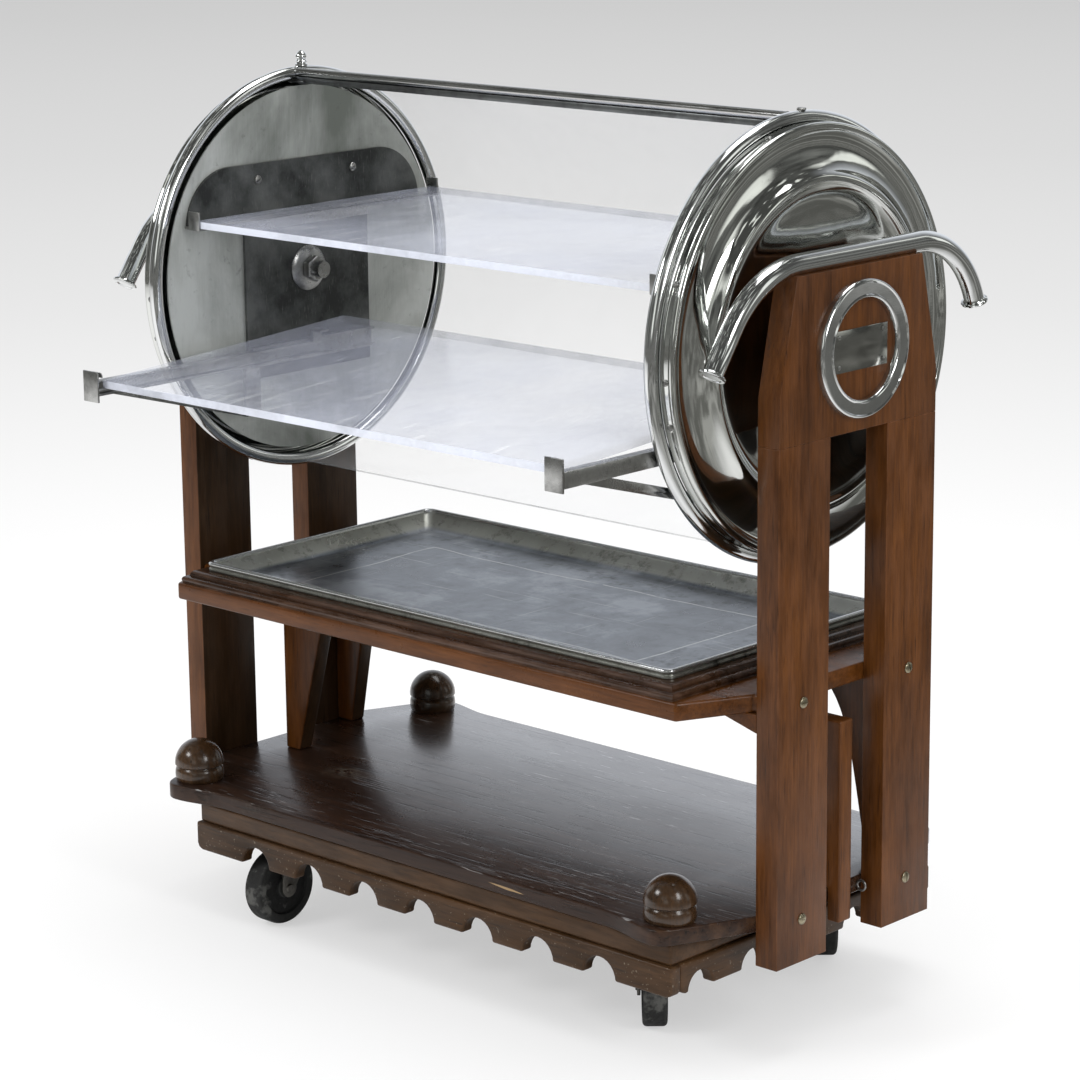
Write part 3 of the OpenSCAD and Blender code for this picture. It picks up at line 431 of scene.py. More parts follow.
frame_tones = ((0.030, 0.0090, 0.0012), (0.074, 0.0233, 0.0033), (0.138, 0.0465, 0.0078))
deck_tones = ((0.010, 0.005, 0.0036), (0.025, 0.012, 0.0072), (0.050, 0.025, 0.014))
# The inner tones are painted shade, for the faces that look inwards.
inner_shade_tones = ((0.015, 0.0070, 0.0020), (0.034, 0.0155, 0.0050), (0.062, 0.0280, 0.0100))
band_tones = ((0.018, 0.0085, 0.0028), (0.043, 0.0195, 0.0060), (0.080, 0.0360, 0.0110))
turned_tones = ((0.015, 0.0080, 0.0034), (0.040, 0.0200, 0.0085), (0.080, 0.0400, 0.0160))
rim_tones = ((0.011, 0.0045, 0.0016), (0.029, 0.0110, 0.0034), (0.058, 0.0225, 0.0066))
upright_wood = mahogany("mahogany_upright", "z", *frame_tones)
board_wood = mahogany("mahogany_board", "x", *frame_tones, gloss=0.28)
cross_wood = mahogany("mahogany_cross", "y", *frame_tones)
rim_wood = mahogany("mahogany_rim", "x", *rim_tones, gloss=0.26, wear=0.6, coat=0.2)
dark_wood = mahogany("mahogany_dark", "x", *band_tones, wear=0.7)
apron_wood = mahogany("mahogany_apron", "x", *band_tones, wear=0.8, specks=0.4)
apron_end_wood = mahogany("mahogany_apron_end", "y", *band_tones, wear=0.8, specks=0.4)
turned_wood = mahogany("mahogany_turned", "z", *turned_tones, gloss=0.24, wear=0.35, coat=0.6)
# Painted shade: a darker finish for the faces that look toward the trolley's middle.
painted_shade_wood = mahogany("mahogany_inner", "z", *inner_shade_tones)
print("wood finishes made")

# %% [markdown]
# The deck is the most used board. Its grain is coarse and open, its gloss is high, and years
# of feet and wheels have left dusty patches. Short pale dashes along the grain on its top are
# painted glints, highlights of the open grain. One spot at the left is very dusty, and one
# long chip shows in the front edge.

# %% The deck's own finish
dust_x, dust_y = -0.28, -0.01
chip_x, chip_drop, chip_half_wide, chip_half_tall = 0.173, 0.010, 0.030, 0.0016


def deck_varnish():
    wood = Finish("mahogany_deck")
    x, y, z = wood.split(wood.place())
    streaks = wood.place((0.05, 1, 1))
    bands = wood.noise(streaks, 30, 6, 0.65, 0.8)
    fibres = wood.noise(streaks, 300, 3, 0.7)
    pores = wood.between(wood.noise(streaks, 190, 3, 0.6), 0.57, 0.68)
    tone = wood.ramp(bands * 0.7 + fibres * 0.3, list(zip((0.34, 0.52, 0.68), deck_tones)))
    toned = wood.blend(pores * 0.75, tone, (0.005, 0.003, 0.002))
    away = ((x - dust_x) ** 2 * 0.45 + (y - dust_y) ** 2) ** 0.5
    spill = wood.between(away + wood.noise(wood.place(), 40, 5, 0.7) * 0.05, 0.055, 0.025)
    patch = wood.patches(0.60, 0.74, 5.5, 5, 0.7, (0.8, 1.6, 1))
    dust = (patch * 0.2 + spill) * wood.patches(0.45, 0.7, 130, 4, 0.7)
    aged = wood.blend(dust * 0.75, toned, (0.26, 0.23, 0.18))
    glint_patches = wood.patches(0.47, 0.66, 3.5, 4, 0.6, (0.8, 1.6, 1))
    # Painted highlight: short pale glints along the grain, on the top face only.
    painted_glints = wood.patches(0.65, 0.70, 260, 2, 0.5, (0.10, 1, 1)) * (0.08 + glint_patches)
    on_top = wood.between(z, deck_high.z - 0.002, deck_high.z - 0.0008)
    with_glints = wood.blend(painted_glints * on_top * 0.7, aged, (0.42, 0.42, 0.42))
    worn = wood.worn_edges() * wood.patches(0.46, 0.62, 60, 4) * 0.9
    rubbed = wood.blend(worn * 0.6, with_glints, (0.15, 0.075, 0.032))
    along_edge = abs(x - chip_x) / chip_half_wide
    chip_line = deck_high.z - chip_drop
    across_edge = abs(z - chip_line + (x - chip_x) * 0.04) / chip_half_tall
    torn = wood.noise(wood.place((0.25, 1, 1)), 160, 3, 0.6) - 0.5
    at_front = wood.between(y, deck_low.y + 0.020, deck_low.y + 0.018)
    chip = wood.between(along_edge * along_edge + across_edge + torn, 1.05, 0.9) * at_front
    wood.set(Base_Color=wood.blend(chip * 0.8, rubbed, (0.36, 0.24, 0.12)))
    smear = wood.noise(wood.place((0.5, 1, 1)), 9, 5, 0.6)
    wood.set(Roughness=wood.between(smear, 0.3, 0.7, 0.22, 0.36) + dust * 0.3)
    polish = wood.between(y, axis_y - 0.18, axis_y + 0.17, 0.02, 0.95)
    wood.set(Coat_Weight=polish, Coat_Roughness=0.17, Specular_IOR_Level=0.25)
    wood.set(Normal=wood.bump(fibres * 0.5 - pores * 1.2 + bands * 0.2, 0.35, 0.0008))
    return wood.material


deck_low, deck_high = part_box("deck")
deck_wood = deck_varnish()
print("deck finish made")

# %% [markdown]
# Polished metal is mostly what it reflects, so its colour is plain and its life comes from
# roughness and relief. Fine wipe marks, a faint waviness of the spun sheet and small dull
# spots keep it from looking like a perfect mirror.

# %% Polished and brushed metals
def polished(name, colour, rough=0.07, waves=0.10, spots=0.35, spot_colour=(0.32, 0.29, 0.25)):
    metal = Finish(name)
    smear = metal.noise(metal.place(), 11, 5, 0.65)
    wipes = metal.noise(metal.place((1, 1, 9)), 70, 3, 0.6)
    pits = metal.patches(0.67, 0.74, 210, 2, 0.6)
    haze = metal.patches(0.56, 0.72, 26, 5, 0.7)
    stain = pits * haze * spots
    metal.set(Base_Color=metal.blend(stain, colour, spot_colour), Metallic=1.0)
    dull = metal.between(smear, 0.35, 0.75, rough * 0.6, rough * 1.8)
    metal.set(Roughness=dull + wipes * 0.03 + haze * 0.05 + stain * 0.3)
    ripple = metal.noise(metal.place(), 14, 2, 0.5)
    metal.set(Normal=metal.bump(ripple + wipes * 0.02 - stain * 0.2, waves, 0.004))
    return metal.material


def brushed(name, colour, dark, rough=0.32, stains=0.6):
    metal = Finish(name)
    lines = metal.noise(metal.place((1, 1, 12)), 260, 3, 0.7)
    cloud = metal.noise(metal.place(), 9, 6, 0.7)
    blot = metal.patches(0.50, 0.68, 22, 6, 0.75)
    tone = metal.blend(metal.between(cloud, 0.35, 0.7), colour, dark)
    metal.set(Base_Color=metal.blend(blot * stains, tone, [c * 0.45 for c in dark]), Metallic=1.0)
    metal.set(Roughness=metal.between(cloud, 0.3, 0.7, rough - 0.1, rough + 0.12) + lines * 0.1)
    metal.set(Normal=metal.bump(lines * 0.5 + blot * 0.5, 0.12, 0.0004))
    return metal.material


chrome = polished("polished_chrome", (0.72, 0.73, 0.73))
spun_chrome = polished("spun_chrome", (0.66, 0.67, 0.65), rough=0.05, waves=0.16)
steel = brushed("bright_steel", (0.50, 0.50, 0.49), (0.18, 0.18, 0.17), rough=0.24)
dull_steel = brushed("dull_steel", (0.20, 0.21, 0.21), (0.08, 0.08, 0.08), rough=0.34)
rod_metal = polished("rod_steel", (0.50, 0.50, 0.49), rough=0.12, waves=0.03)
plate_steel = polished("nameplate_steel", (0.36, 0.36, 0.34), rough=0.16, waves=0.25, spots=0.8,
                       spot_colour=(0.08, 0.08, 0.07))
brass = polished("worn_brass", (0.34, 0.30, 0.21), rough=0.26, spots=0.8, spot_colour=(0.08, 0.05, 0.02))
print("metal finishes made")

# %% [markdown]
# The two liner discs are bright sheet steel with broad milky clouds, and the T-shaped plates
# on them are bronzed dark. The serving tray has been scrubbed for years: its floor is blotchy,
# crossed by scratches in all directions, and grimy where the sides meet it.

# %% Liner and plate finishes
def liner_metal():
    metal = Finish("liner_steel")
    cloud = metal.noise(metal.place((1, 1, 0.7)), 5, 6, 0.6, 0.4)
    streak = metal.noise(metal.place((1, 14, 1)), 30, 4, 0.65)
    spots = metal.patches(0.60, 0.75, 60, 5, 0.7)
    stops = [(0.38, (0.18, 0.195, 0.175)), (0.50, (0.34, 0.355, 0.335)), (0.63, (0.56, 0.58, 0.56))]
    tone = metal.ramp(cloud * 0.93 + streak * 0.07, stops)
    metal.set(Base_Color=metal.blend(spots * 0.5, tone, (0.12, 0.125, 0.115)), Metallic=0.55)
    metal.set(Roughness=metal.between(cloud, 0.3, 0.7, 0.30, 0.46) + spots * 0.15)
    metal.set(Normal=metal.bump(cloud + streak * 0.3 + spots * 0.3, 0.08, 0.0005))
    return metal.material


def plate_metal():
    metal = Finish("bronzed_plate")
    cloud = metal.noise(metal.place(), 8, 6, 0.65)
    scuffs = metal.patches(0.58, 0.72, 70, 4, 0.7, (1, 6, 1))
    tone = metal.ramp(cloud, [(0.38, (0.022, 0.024, 0.023)), (0.62, (0.115, 0.120, 0.118))])
    metal.set(Base_Color=metal.blend(scuffs * 0.5, tone, (0.18, 0.18, 0.17)), Metallic=0.5)
    metal.set(Roughness=metal.between(cloud, 0.3, 0.7, 0.34, 0.5) - scuffs * 0.08)
    metal.set(Normal=metal.bump(cloud + scuffs, 0.12, 0.0006))
    return metal.material


liner_steel = liner_metal()
bronzed = plate_metal()
print("liner and plate finishes made")

# %% [markdown]
# The tray's marks follow its shape. Grime gathers on the sloping sides, a fine pale line runs
# round the floor a little way in from them, and the rolled rim is left bright. Each is a mask
# made from how far a point lies from the floor's edge, or from its height above the floor.

# %% The tray's finish
floor_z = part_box("tray")[0].z
line_half_x, line_half_y, line_mid_y = 0.29, 0.123, 0.045


def tray_metal():
    metal = Finish("scrubbed_tray")
    x, y, z = metal.split(metal.place())
    cloud = metal.noise(metal.place(), 7, 8, 0.68, 0.3)
    mottle = metal.noise(metal.place(), 46, 6, 0.75)
    long_marks = metal.noise(metal.place((0.05, 1, 1), (0, 0, 0.5)), 150, 2, 0.6)
    cross_marks = metal.noise(metal.place((1, 0.04, 1), (0, 0, 0.35)), 170, 2, 0.6)
    marks = metal.between(long_marks, 0.66, 0.72) + metal.between(cross_marks, 0.68, 0.74)
    wander = metal.noise(metal.place(), 5, 3, 0.5) * 0.03 - 0.015
    edge = (abs(x) - line_half_x + wander).larger(abs(y - line_mid_y) - line_half_y + wander)
    line = metal.between(abs(edge), 0.0018, 0.0006) * metal.between(mottle, 0.34, 0.5)
    outside = metal.between(edge, -0.01, 0.01)
    high_up = metal.between(z, floor_z + 0.003, floor_z + 0.006)
    rim = metal.between(z, floor_z + 0.019, floor_z + 0.0215)
    grime = metal.between(mottle, 0.52, 0.72) * (0.25 + 0.35 * outside + 0.4 * high_up)
    stops = [(0.40, (0.085, 0.095, 0.11)), (0.52, (0.16, 0.175, 0.195)), (0.62, (0.29, 0.305, 0.33))]
    stained = metal.blend(high_up * 0.7, metal.ramp(cloud, stops), (0.40, 0.40, 0.345))
    dirty = metal.blend(grime, stained, (0.055, 0.055, 0.048))
    scraped = metal.blend(marks * 0.25 + line * 0.75, dirty, (0.62, 0.62, 0.60))
    metal.set(Base_Color=metal.blend(rim, scraped, (0.52, 0.53, 0.53)), Metallic=0.9)
    dull = metal.between(cloud, 0.3, 0.7, 0.24, 0.40) + grime * 0.25
    metal.set(Roughness=dull * (1 - rim * 0.6))
    metal.set(Normal=metal.bump(marks * -0.4 + mottle * 0.5 - line, 0.22, 0.0005))
    return metal.material


tray_steel = tray_metal()
print("tray finish made")

# %% [markdown]
# The cover and shelves are clear acrylic. What is seen of it is a thin milky veil of wipe
# marks, which thickens where the sheet is looked at edge on. The front edges of the shelves
# are far whiter, because light gathers in them, and that light is a painted highlight. Their
# rear edges and the two long cut edges of the cover are painted dark, as shade. Both kinds of
# edge take a finish of their own.

# %% Clear acrylic and its edges
def acrylic(name, colour, veil, grazing, rough=0.2, marks=1.0):
    clear = Finish(name)
    smear = clear.noise(clear.place(), 6, 6, 0.62)
    swirl = clear.noise(clear.place((1, 0.12, 1), (0, 0, 0.4)), 70, 3, 0.7)
    wipes = clear.between(swirl, 0.55, 0.75) * marks
    edge_on = clear.node("ShaderNodeLayerWeight", None, {"Blend": 0.5}, out="Facing")
    haze = clear.between(smear, 0.35, 0.7, 0.65, 1.5) + wipes * 0.5
    clear.set(Base_Color=clear.blend(wipes, colour, (0.86, 0.88, 0.92)))
    clear.set(Alpha=haze * veil + edge_on ** 4 * grazing, IOR=1.49)
    clear.set(Roughness=clear.between(smear, 0.35, 0.7, rough * 0.6, rough * 1.2))
    clear.set(Normal=clear.bump(smear, 0.05, 0.002))
    return clear.material


shelf_clear = acrylic("clear_shelf", (0.56, 0.59, 0.70), 0.225, 0.12)
# Painted highlight for the shelves' front edges, and painted shade for the rear and cut edges.
edge_highlight_clear = acrylic("painted_edge_highlight", (0.68, 0.71, 0.80), 0.80, 0.1, rough=0.4, marks=0.15)
painted_shade_edge = acrylic("cut_edge", (0.20, 0.21, 0.22), 0.40, 0.1, rough=0.4, marks=0.15)
cover_clear = acrylic("clear_cover", (0.97, 0.97, 0.97), 0.05, 0.16, rough=0.1, marks=0.2)
print("acrylic finishes made")


def paint_edge_highlight_and_shade(piece):
    """Gives a shelf's front edge the painted highlight and its rear edge the painted shade."""
    refinish(piece, edge_highlight_clear, lambda face: face.normal.y < -0.5)
    refinish(piece, painted_shade_edge, lambda face: face.normal.y > 0.5)


# %% Rubber and iron of the casters
def wheel_rubber():
    rubber = Finish("caster_rubber")
    grit = rubber.noise(rubber.place(), 160, 4, 0.7)
    dust = rubber.patches(0.56, 0.64, 30, 4, 0.6) * 0.5 + rubber.worn_edges(0.52, 0.60) * 0.5
    rubber.set(Base_Color=rubber.blend(dust, (0.009, 0.009, 0.009), (0.14, 0.14, 0.13)))
    rubber.set(Specular_IOR_Level=0.3)
    rubber.set(Roughness=rubber.between(grit, 0.3, 0.7, 0.5, 0.8))
    rubber.set(Normal=rubber.bump(grit, 0.3, 0.0006))
    return rubber.material


rubber = wheel_rubber()
iron = brushed("caster_iron", (0.22, 0.21, 0.19), (0.07, 0.065, 0.06), rough=0.42, stains=0.8)
print("caster finishes made")

# %% [markdown]
# The end frames are plain boards with eased edges: two uprights and a head at each end. The
# head narrows towards the handle that lies on it. A drawn outline, filled and extruded, gives
# each its thickness, and a small bevel catches the light along the edges. The faces that look
# inwards get a darker finish, which is painted shade.

# %% Uprights and heads
def looks_inside(face):
    return face.normal.x * math.copysign(1, face.center.x) < -0.7


def paint_inner_shade(*boards):
    """Paints shade, a darker finish, on the faces that look toward the trolley's middle."""
    for board in boards:
        refinish(board, painted_shade_wood, looks_inside)


eased = 0.0009
for row in ("front", "rear"):
    for end in ("left", "right"):
        node = f"upright_{row}_{end}"
        board = make_block(f"{row}_{end}_upright_board", *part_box(node), eased, 3)
        finish_piece(board, "frame", "mahogany", upright_wood, node)
        paint_inner_shade(board)


def head_outline(low, high):
    """The head board's outline: straight below, narrower above."""
    depth, shoulder, top_half = (high.y - low.y) / 2, 0.055, 0.115
    half = [(depth, low.z), (depth, low.z + shoulder), (top_half, high.z)]
    return [(axis_y + y, z) for y, z in half] + [(axis_y - y, z) for y, z in reversed(half)]


outline = [(inner_x, y, z) for y, z in head_outline(*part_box("head_right"))]
head = make_board("right_head_board", outline, (outer_x - inner_x, 0, 0), eased)
finish_pair(head, "frame", "mahogany", upright_wood, "head_right", "head_left")

# %% [markdown]
# The deck's corners flare out in an S curve to a rounded nose, and the ends run back from the
# nose in a straight cant. The quarter outline is drawn by a formula and turned over for the
# other three quarters. The tray shelf above it is drawn from its own quarter in the same way.

# %% Deck
nose_x, nose_r, nose_out, flare = 0.415, 0.025, 0.014, 0.080
deck_front = (deck_high.y - deck_low.y) / 2 - nose_out
deck_end_y = 0.148


def deck_quarter():
    """From the start of the S curve round the nose to the deck's end."""
    points = []
    for i in range(8):
        t = i / 8
        points.append((nose_x - flare * (1 - t), deck_front + nose_out * t * t * (3 - 2 * t)))
    centre = Vector((nose_x, deck_front + nose_out - nose_r))
    way = Vector((inner_x, deck_end_y)) - centre
    last = math.atan2(way.y, way.x) + math.acos(nose_r / way.length)
    return points + arc(centre, nose_r, 90, math.degrees(last), 8) + [(inner_x, deck_end_y)]


def four_quarters(quarter, z):
    """Turns the outline of one corner over for the other three, at a height."""
    outline = [(x, -y) for x, y in quarter] + [(x, y) for x, y in reversed(quarter)]
    outline += [(-x, y) for x, y in quarter] + [(-x, -y) for x, y in reversed(quarter)]
    return [(x, axis_y + y, z) for x, y in outline]


deck = make_board("deck_board", four_quarters(deck_quarter(), deck_low.z),
                  (0, 0, deck_high.z - deck_low.z), 0.002)
finish_piece(deck, "frame", "mahogany", deck_wood, "deck")

# %% [markdown]
# Under the deck runs a dark band, and below it four scalloped aprons. The band is one flat
# rectangle, inset and extruded. Each apron's lower edge is cut into round arches with flat
# teeth between them: the arches are half circles in the outline, and the whole outline is
# extruded to the board's thickness.

# %% Band under the deck
low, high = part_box("band")
clear_selection()
bpy.ops.mesh.primitive_plane_add(size=1, location=((low.x + high.x) / 2, (low.y + high.y) / 2, low.z))
band = started("deck_band", (high.x - low.x, high.y - low.y, 1))
edit_all()
bpy.ops.mesh.inset(thickness=0.018)
bpy.ops.mesh.delete(type="FACE")
select_mesh()
extrude((0, 0, high.z - low.z))
tidy_normals()
soften(band, 0.004)
finish_piece(band, "frame", "dark_mahogany", dark_wood, "band")


# %% Scalloped aprons
def scallops(start, end, low_z, high_z, middle, pitch, count, radius):
    """The outline of an apron as distance and height, arches cut into its lower edge."""
    rounded = measured([(0, 9), (2.5, 2.5), (9, 0)])
    points = [(start, high_z)] + [(start + a, low_z + b) for a, b in rounded]
    for k in range(count):
        points += arc((middle + pitch * (k - (count - 1) / 2), low_z), radius, 180, 0, 12)
    return points + [(end - a, low_z + b) for a, b in reversed(rounded)] + [(end, high_z)]


for row in ("front", "rear"):
    low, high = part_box(f"apron_{row}")
    middle = (low.x + high.x) / 2
    line = scallops(low.x, high.x, low.z, high.z, middle, pitch=0.1, count=7, radius=0.025)
    outline = [(x, low.y, z) for x, z in line]
    apron = make_board(f"{row}_apron_board", outline, (0, high.y - low.y, 0), 0.003)
    finish_piece(apron, "frame", "mahogany", apron_wood, f"apron_{row}")
for end in ("left", "right"):
    low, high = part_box(f"apron_{end}")
    line = scallops(low.y, high.y, low.z, high.z, axis_y, pitch=0.0965, count=5, radius=0.022)
    outline = [(low.x, y, z) for y, z in line]
    apron = make_board(f"{end}_apron_board", outline, (high.x - low.x, 0, 0), 0.003)
    finish_piece(apron, "frame", "mahogany", apron_end_wood, f"apron_{end}")

# %% [markdown]
# A ball finial stands on each corner of the deck. It is turned on a lathe: a collar with two
# grooves, a fine bead and a ball on top. Only half of its section is drawn, and the spin makes
# the rest. One finial is turned, and the four on the deck are copies of it.

# %% Corner finials
low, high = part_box("finials")
ball = 0.032
collar = (high.z - low.z) - ball
places = [(x, y) for x in (low.x + ball, high.x - ball) for y in (low.y + ball, high.y - ball)]
section = measured([(0, 0), (29.6, 0), (30.8, 1.2), (31.7, 5), (32, 9.5), (31.6, 14), (30.6, 17.2),
                    (29.2, 18.8), (28.9, 19.6), (29.4, 20.4), (31.2, 21.2)])
finial = turn_upright("turned_finial", section + arc((0, collar), ball, -2, 90, 22), 64)
finials = [copied(finial, f"corner_finial_{i + 1}", (x, y, low.z)) for i, (x, y) in enumerate(places)]
bpy.data.objects.remove(finial)
for piece in finials:
    finish_piece(piece, "frame", "mahogany", turned_wood)
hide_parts("finials")

# %% [markdown]
# The tray shelf has canted corners and a tab into each end frame. On it lies a moulding of two
# rounded steps, mitred at the corners. The moulding is a loft: a rectangle of edges is extruded
# upwards and scaled in, step by step, so that its corners stay mitred by themselves.

# %% Tray shelf
low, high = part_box("tray_shelf")
edge_x, cant_x, tab_y = 0.430, inner_x - 0.008, 0.140
corner = [(edge_x, (high.y - low.y) / 2), (cant_x, tab_y), (inner_x, tab_y)]
shelf = make_board("tray_shelf_board", four_quarters(corner, low.z), (0, 0, high.z - low.z), 0.003)
finish_piece(shelf, "frame", "mahogany", board_wood, "tray_shelf")


# %% A loft of rectangles, for the moulding and the tray
def rectangle_loft(name, rings, corner=0.0):
    """Rings are half length, half depth and height. The last ring is filled unless it is the first."""
    half_x, half_y, z = rings[0]
    clear_selection()
    bpy.ops.mesh.primitive_plane_add(size=2, location=(0, axis_y, z))
    piece = started(name, (half_x, half_y, 1))
    edit_all()
    if corner:
        bpy.ops.mesh.bevel(offset=corner, segments=8, affect="VERTICES")
        select_mesh()
    bpy.ops.mesh.delete(type="ONLY_FACE")
    select_mesh()
    for wide, deep, height in rings[1:]:
        extrude((0, 0, height - z))
        bpy.ops.transform.resize(value=(wide / half_x, deep / half_y, 1),
                                 center_override=(0, axis_y, height))
        half_x, half_y, z = wide, deep, height
    if rings[0] != rings[-1]:
        bpy.ops.mesh.edge_face_add()
    tidy_normals()
    soften(piece, 0)
    return piece


def rectangle_rings(node, section):
    """A section of how far in and how high, as rings inside a node's box."""
    low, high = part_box(node)
    return [(high.x - inward, (high.y - low.y) / 2 - inward, z) for inward, z in section]


# %% Moulding round the tray
low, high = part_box("moulding")
tall = high.z - low.z
lower_round, step_in, step_z, rim_wide = 0.0045, 0.0145, 0.0103, 0.031
section = [(0.0006, 0)] + arc((lower_round, 0.005), lower_round, 220, 90, 8)
section += measured([(7.5, 9.8), (7.8, 10.6)])
section += arc((step_in, step_z), tall - step_z, 180, 90, 8)
section += [(rim_wide - 0.002, tall), (rim_wide, tall - 0.002), (rim_wide, 0)]
rings = rectangle_rings("moulding", [(inward, low.z + z) for inward, z in section])
moulding = rectangle_loft("tray_moulding", rings + [rings[0]])
finish_piece(moulding, "frame", "mahogany", rim_wood, "moulding")

# %% [markdown]
# The serving tray lifts out. Its rim is rolled over a wire, a short skirt hangs from it on the
# moulding, and the sides slope to a flat floor. The same loft makes it, from the skirt's lower
# edge over the roll and down to the floor, and a bevel rounds its four corners first.

# %% Serving tray
low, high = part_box("tray")
skirt_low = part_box("moulding")[1].z + 0.0002
roll = 0.003
section = measured([(0.6, 0), (0.1, 0.6)], up=skirt_low)
section += measured([(0.1, -9.2), (1.4, -8.2), (1.6, -7.2), (0.8, -6)], up=high.z)
section += arc((roll, high.z - roll), roll, 220, -10, 12)
section += [(0.007, high.z - 0.006)] + measured([(26.2, 3.2), (28.5, 1.8), (34, 1.5)], up=low.z)
tray = rectangle_loft("serving_tray", rectangle_rings("tray", section), corner=0.012)
modify(tray, "SOLIDIFY", thickness=0.0011, offset=-1)
soften(tray, 0)
finish_piece(tray, "tray", "tray_steel", tray_steel, "tray")

# %% [markdown]
# Between deck and shelf stand a curved bracket behind each end, a tapered post on the left and
# a slim fin on the right. Small wedge cleats sit under the shelf at the front. All are flat
# boards, so each is an outline in x and z with a thickness along y.

# %% Brackets, cleats, post and fin
deck_top = deck_high.z
shelf_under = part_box("tray_shelf")[0].z


def cross_board(name, outline, node):
    """A board that lies across the trolley, as deep as its node."""
    low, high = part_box(node)
    return make_board(name, [(x, low.y, z) for x, z in outline], (0, high.y - low.y, 0), 0.0025)


def bracket_outline():
    """The curved inner edge widens slowly, then flares under the shelf."""
    foot, top, steps = 0.028, 0.130, 20
    inner = []
    for i in range(steps + 1):
        t = i / steps
        out = foot + (top - foot) * (0.45 * t + 0.55 * t ** 7)
        inner.append((inner_x - out, deck_top + (shelf_under - deck_top) * t))
    return [(inner_x, deck_top)] + inner + [(inner_x, shelf_under)]


bracket = cross_board("right_rear_bracket", bracket_outline(), "rear_brackets")
paint_inner_shade(*finish_pair(bracket, "frame", "mahogany", upright_wood, "rear_brackets"))
wedge_reach, wedge_tip, wedge_root = 0.075, 0.003, 0.023
wedge = [(inner_x, shelf_under), (inner_x - wedge_reach, shelf_under),
         (inner_x - wedge_reach, shelf_under - wedge_tip), (inner_x, shelf_under - wedge_root)]
cleat = cross_board("right_front_cleat", wedge, "front_cleats")
paint_inner_shade(*finish_pair(cleat, "frame", "mahogany", cross_wood, "front_cleats"))
fin_low, fin_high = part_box("fin_right")
post_side, post_foot, post_top = -0.431, -0.405, -0.339
post_line = [(post_side, deck_top), (post_foot, deck_top), (post_top, shelf_under), (post_side, shelf_under)]
fin_top, fin_foot = 0.040, 0.030
fin_line = [(fin_high.x, fin_low.z), (fin_high.x, fin_high.z), (fin_high.x - fin_top, fin_high.z),
            (inner_x - fin_foot, deck_top), (inner_x, deck_top), (inner_x, fin_low.z)]
for name, line, node in (("tapered_post", post_line, "post_left"), ("slim_fin", fin_line, "fin_right")):
    board = cross_board(name, line, node)
    finish_piece(board, "frame", "mahogany", upright_wood, node)
    paint_inner_shade(board)

# %% [markdown]
# A bead ring is a bent tube, so its section is a circle. The drum end is one spun sheet: a flat
# band, a raised bead, a hollow dish, a tall ridge and an inner bowl. A smooth curve through a
# few radii gives the section, because kinks would show at once in the reflections.

# %% Bead rings
bead = 0.0085
circle = arc((ring_radius - bead, ring_x), bead, 0, 360, 28)[:-1]
bead_ring = turn_on_axis("right_bead_ring", circle, 160)
finish_pair(bead_ring, "cover", "chrome", chrome, "bead_ring_right", "bead_ring_left")


# %% Spun drum ends
def smooth_curve(points, per_span):
    """A curve that passes through all the points, as a bent lath would."""
    out = []
    for i in range(len(points) - 1):
        a = Vector(points[max(i - 1, 0)])
        b = Vector(points[i])
        c = Vector(points[i + 1])
        d = Vector(points[min(i + 2, len(points) - 1)])
        for k in range(per_span):
            t = k / per_span
            out.append(0.5 * ((2 * b) + (c - a) * t + (2 * a - 5 * b + 4 * c - d) * t * t
                              + (3 * b - a - 3 * c + d) * t ** 3))
    return out + [Vector(points[-1])]


band_x = ring_x + bead
rim_x = band_x + 0.016
sheet = 0.0014
band_line = measured([(251.2, -0.2), (251.8, 0.4), (252, 1.4), (252, 3)], up=band_x)
band_line += measured([(252, -5.5), (252, -4)], up=rim_x)
profile = measured([(252, -4), (252.8, 0.5), (250.5, 3.6), (246.2, 3.6), (242.5, 0.6), (236, -2.2),
                    (224, -2.4), (211, 1), (201, 7.2), (194.5, 14.6), (190, 17), (185.5, 15.2),
                    (180, 9.8), (168, 4), (145, 1.4), (115, 0.4), (74, 1.6), (69, 4), (64, 4),
                    (60, 1.8), (40, 1.6), (20.2, 2)], up=rim_x)
outer_line = band_line + [tuple(point) for point in smooth_curve(profile, 5)][1:]
inner_line = [(r - sheet, x - sheet) for r, x in reversed(outer_line)]
inner_line[0] = (profile[-1][0], inner_line[0][1])
drum_end = turn_on_axis("right_drum_end", outer_line + inner_line, 160)
finish_pair(drum_end, "cover", "chrome", spun_chrome, "drum_end_right", "drum_end_left")

# %% [markdown]
# The cover is half a cylinder of thin clear sheet. Its section is a long thin rectangle across
# the trolley, and a spin of about half a turn bends it round the rear of the drum. A steel rod
# and a flat channel hold its upper edge, and an acorn nut fixes the rod at the left ring.

# %% Clear rolling cover
sheet_in, sheet_out, half_wide = 0.258, 0.260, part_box("cover_sheet")[1].x
first, last = math.radians(-93), math.radians(91.1)
strip = [(x, axis_y + r * math.cos(first), axis_z + r * math.sin(first)) for r, x in
         ((sheet_in, -half_wide), (sheet_in, half_wide), (sheet_out, half_wide), (sheet_out, -half_wide))]
cover = draw_line("rolling_cover", strip, closed=True)
select_mesh()
bpy.ops.mesh.spin(steps=96, angle=first - last, center=axis_point, axis=(1, 0, 0))
tidy_normals()
soften(cover, 0)
finish_piece(cover, "cover", "clear_sheet", cover_clear, "cover_sheet")


def is_cut_edge(face):
    """The faces of the two long edges look along the curve of the sheet."""
    outward = Vector((0, face.center.y - axis_y, face.center.z - axis_z)).normalized()
    return abs(face.normal.x) < 0.5 and abs(face.normal.dot(outward)) < 0.5


# Painted shade on the cover's two long cut edges.
refinish(cover, painted_shade_edge, is_cut_edge)

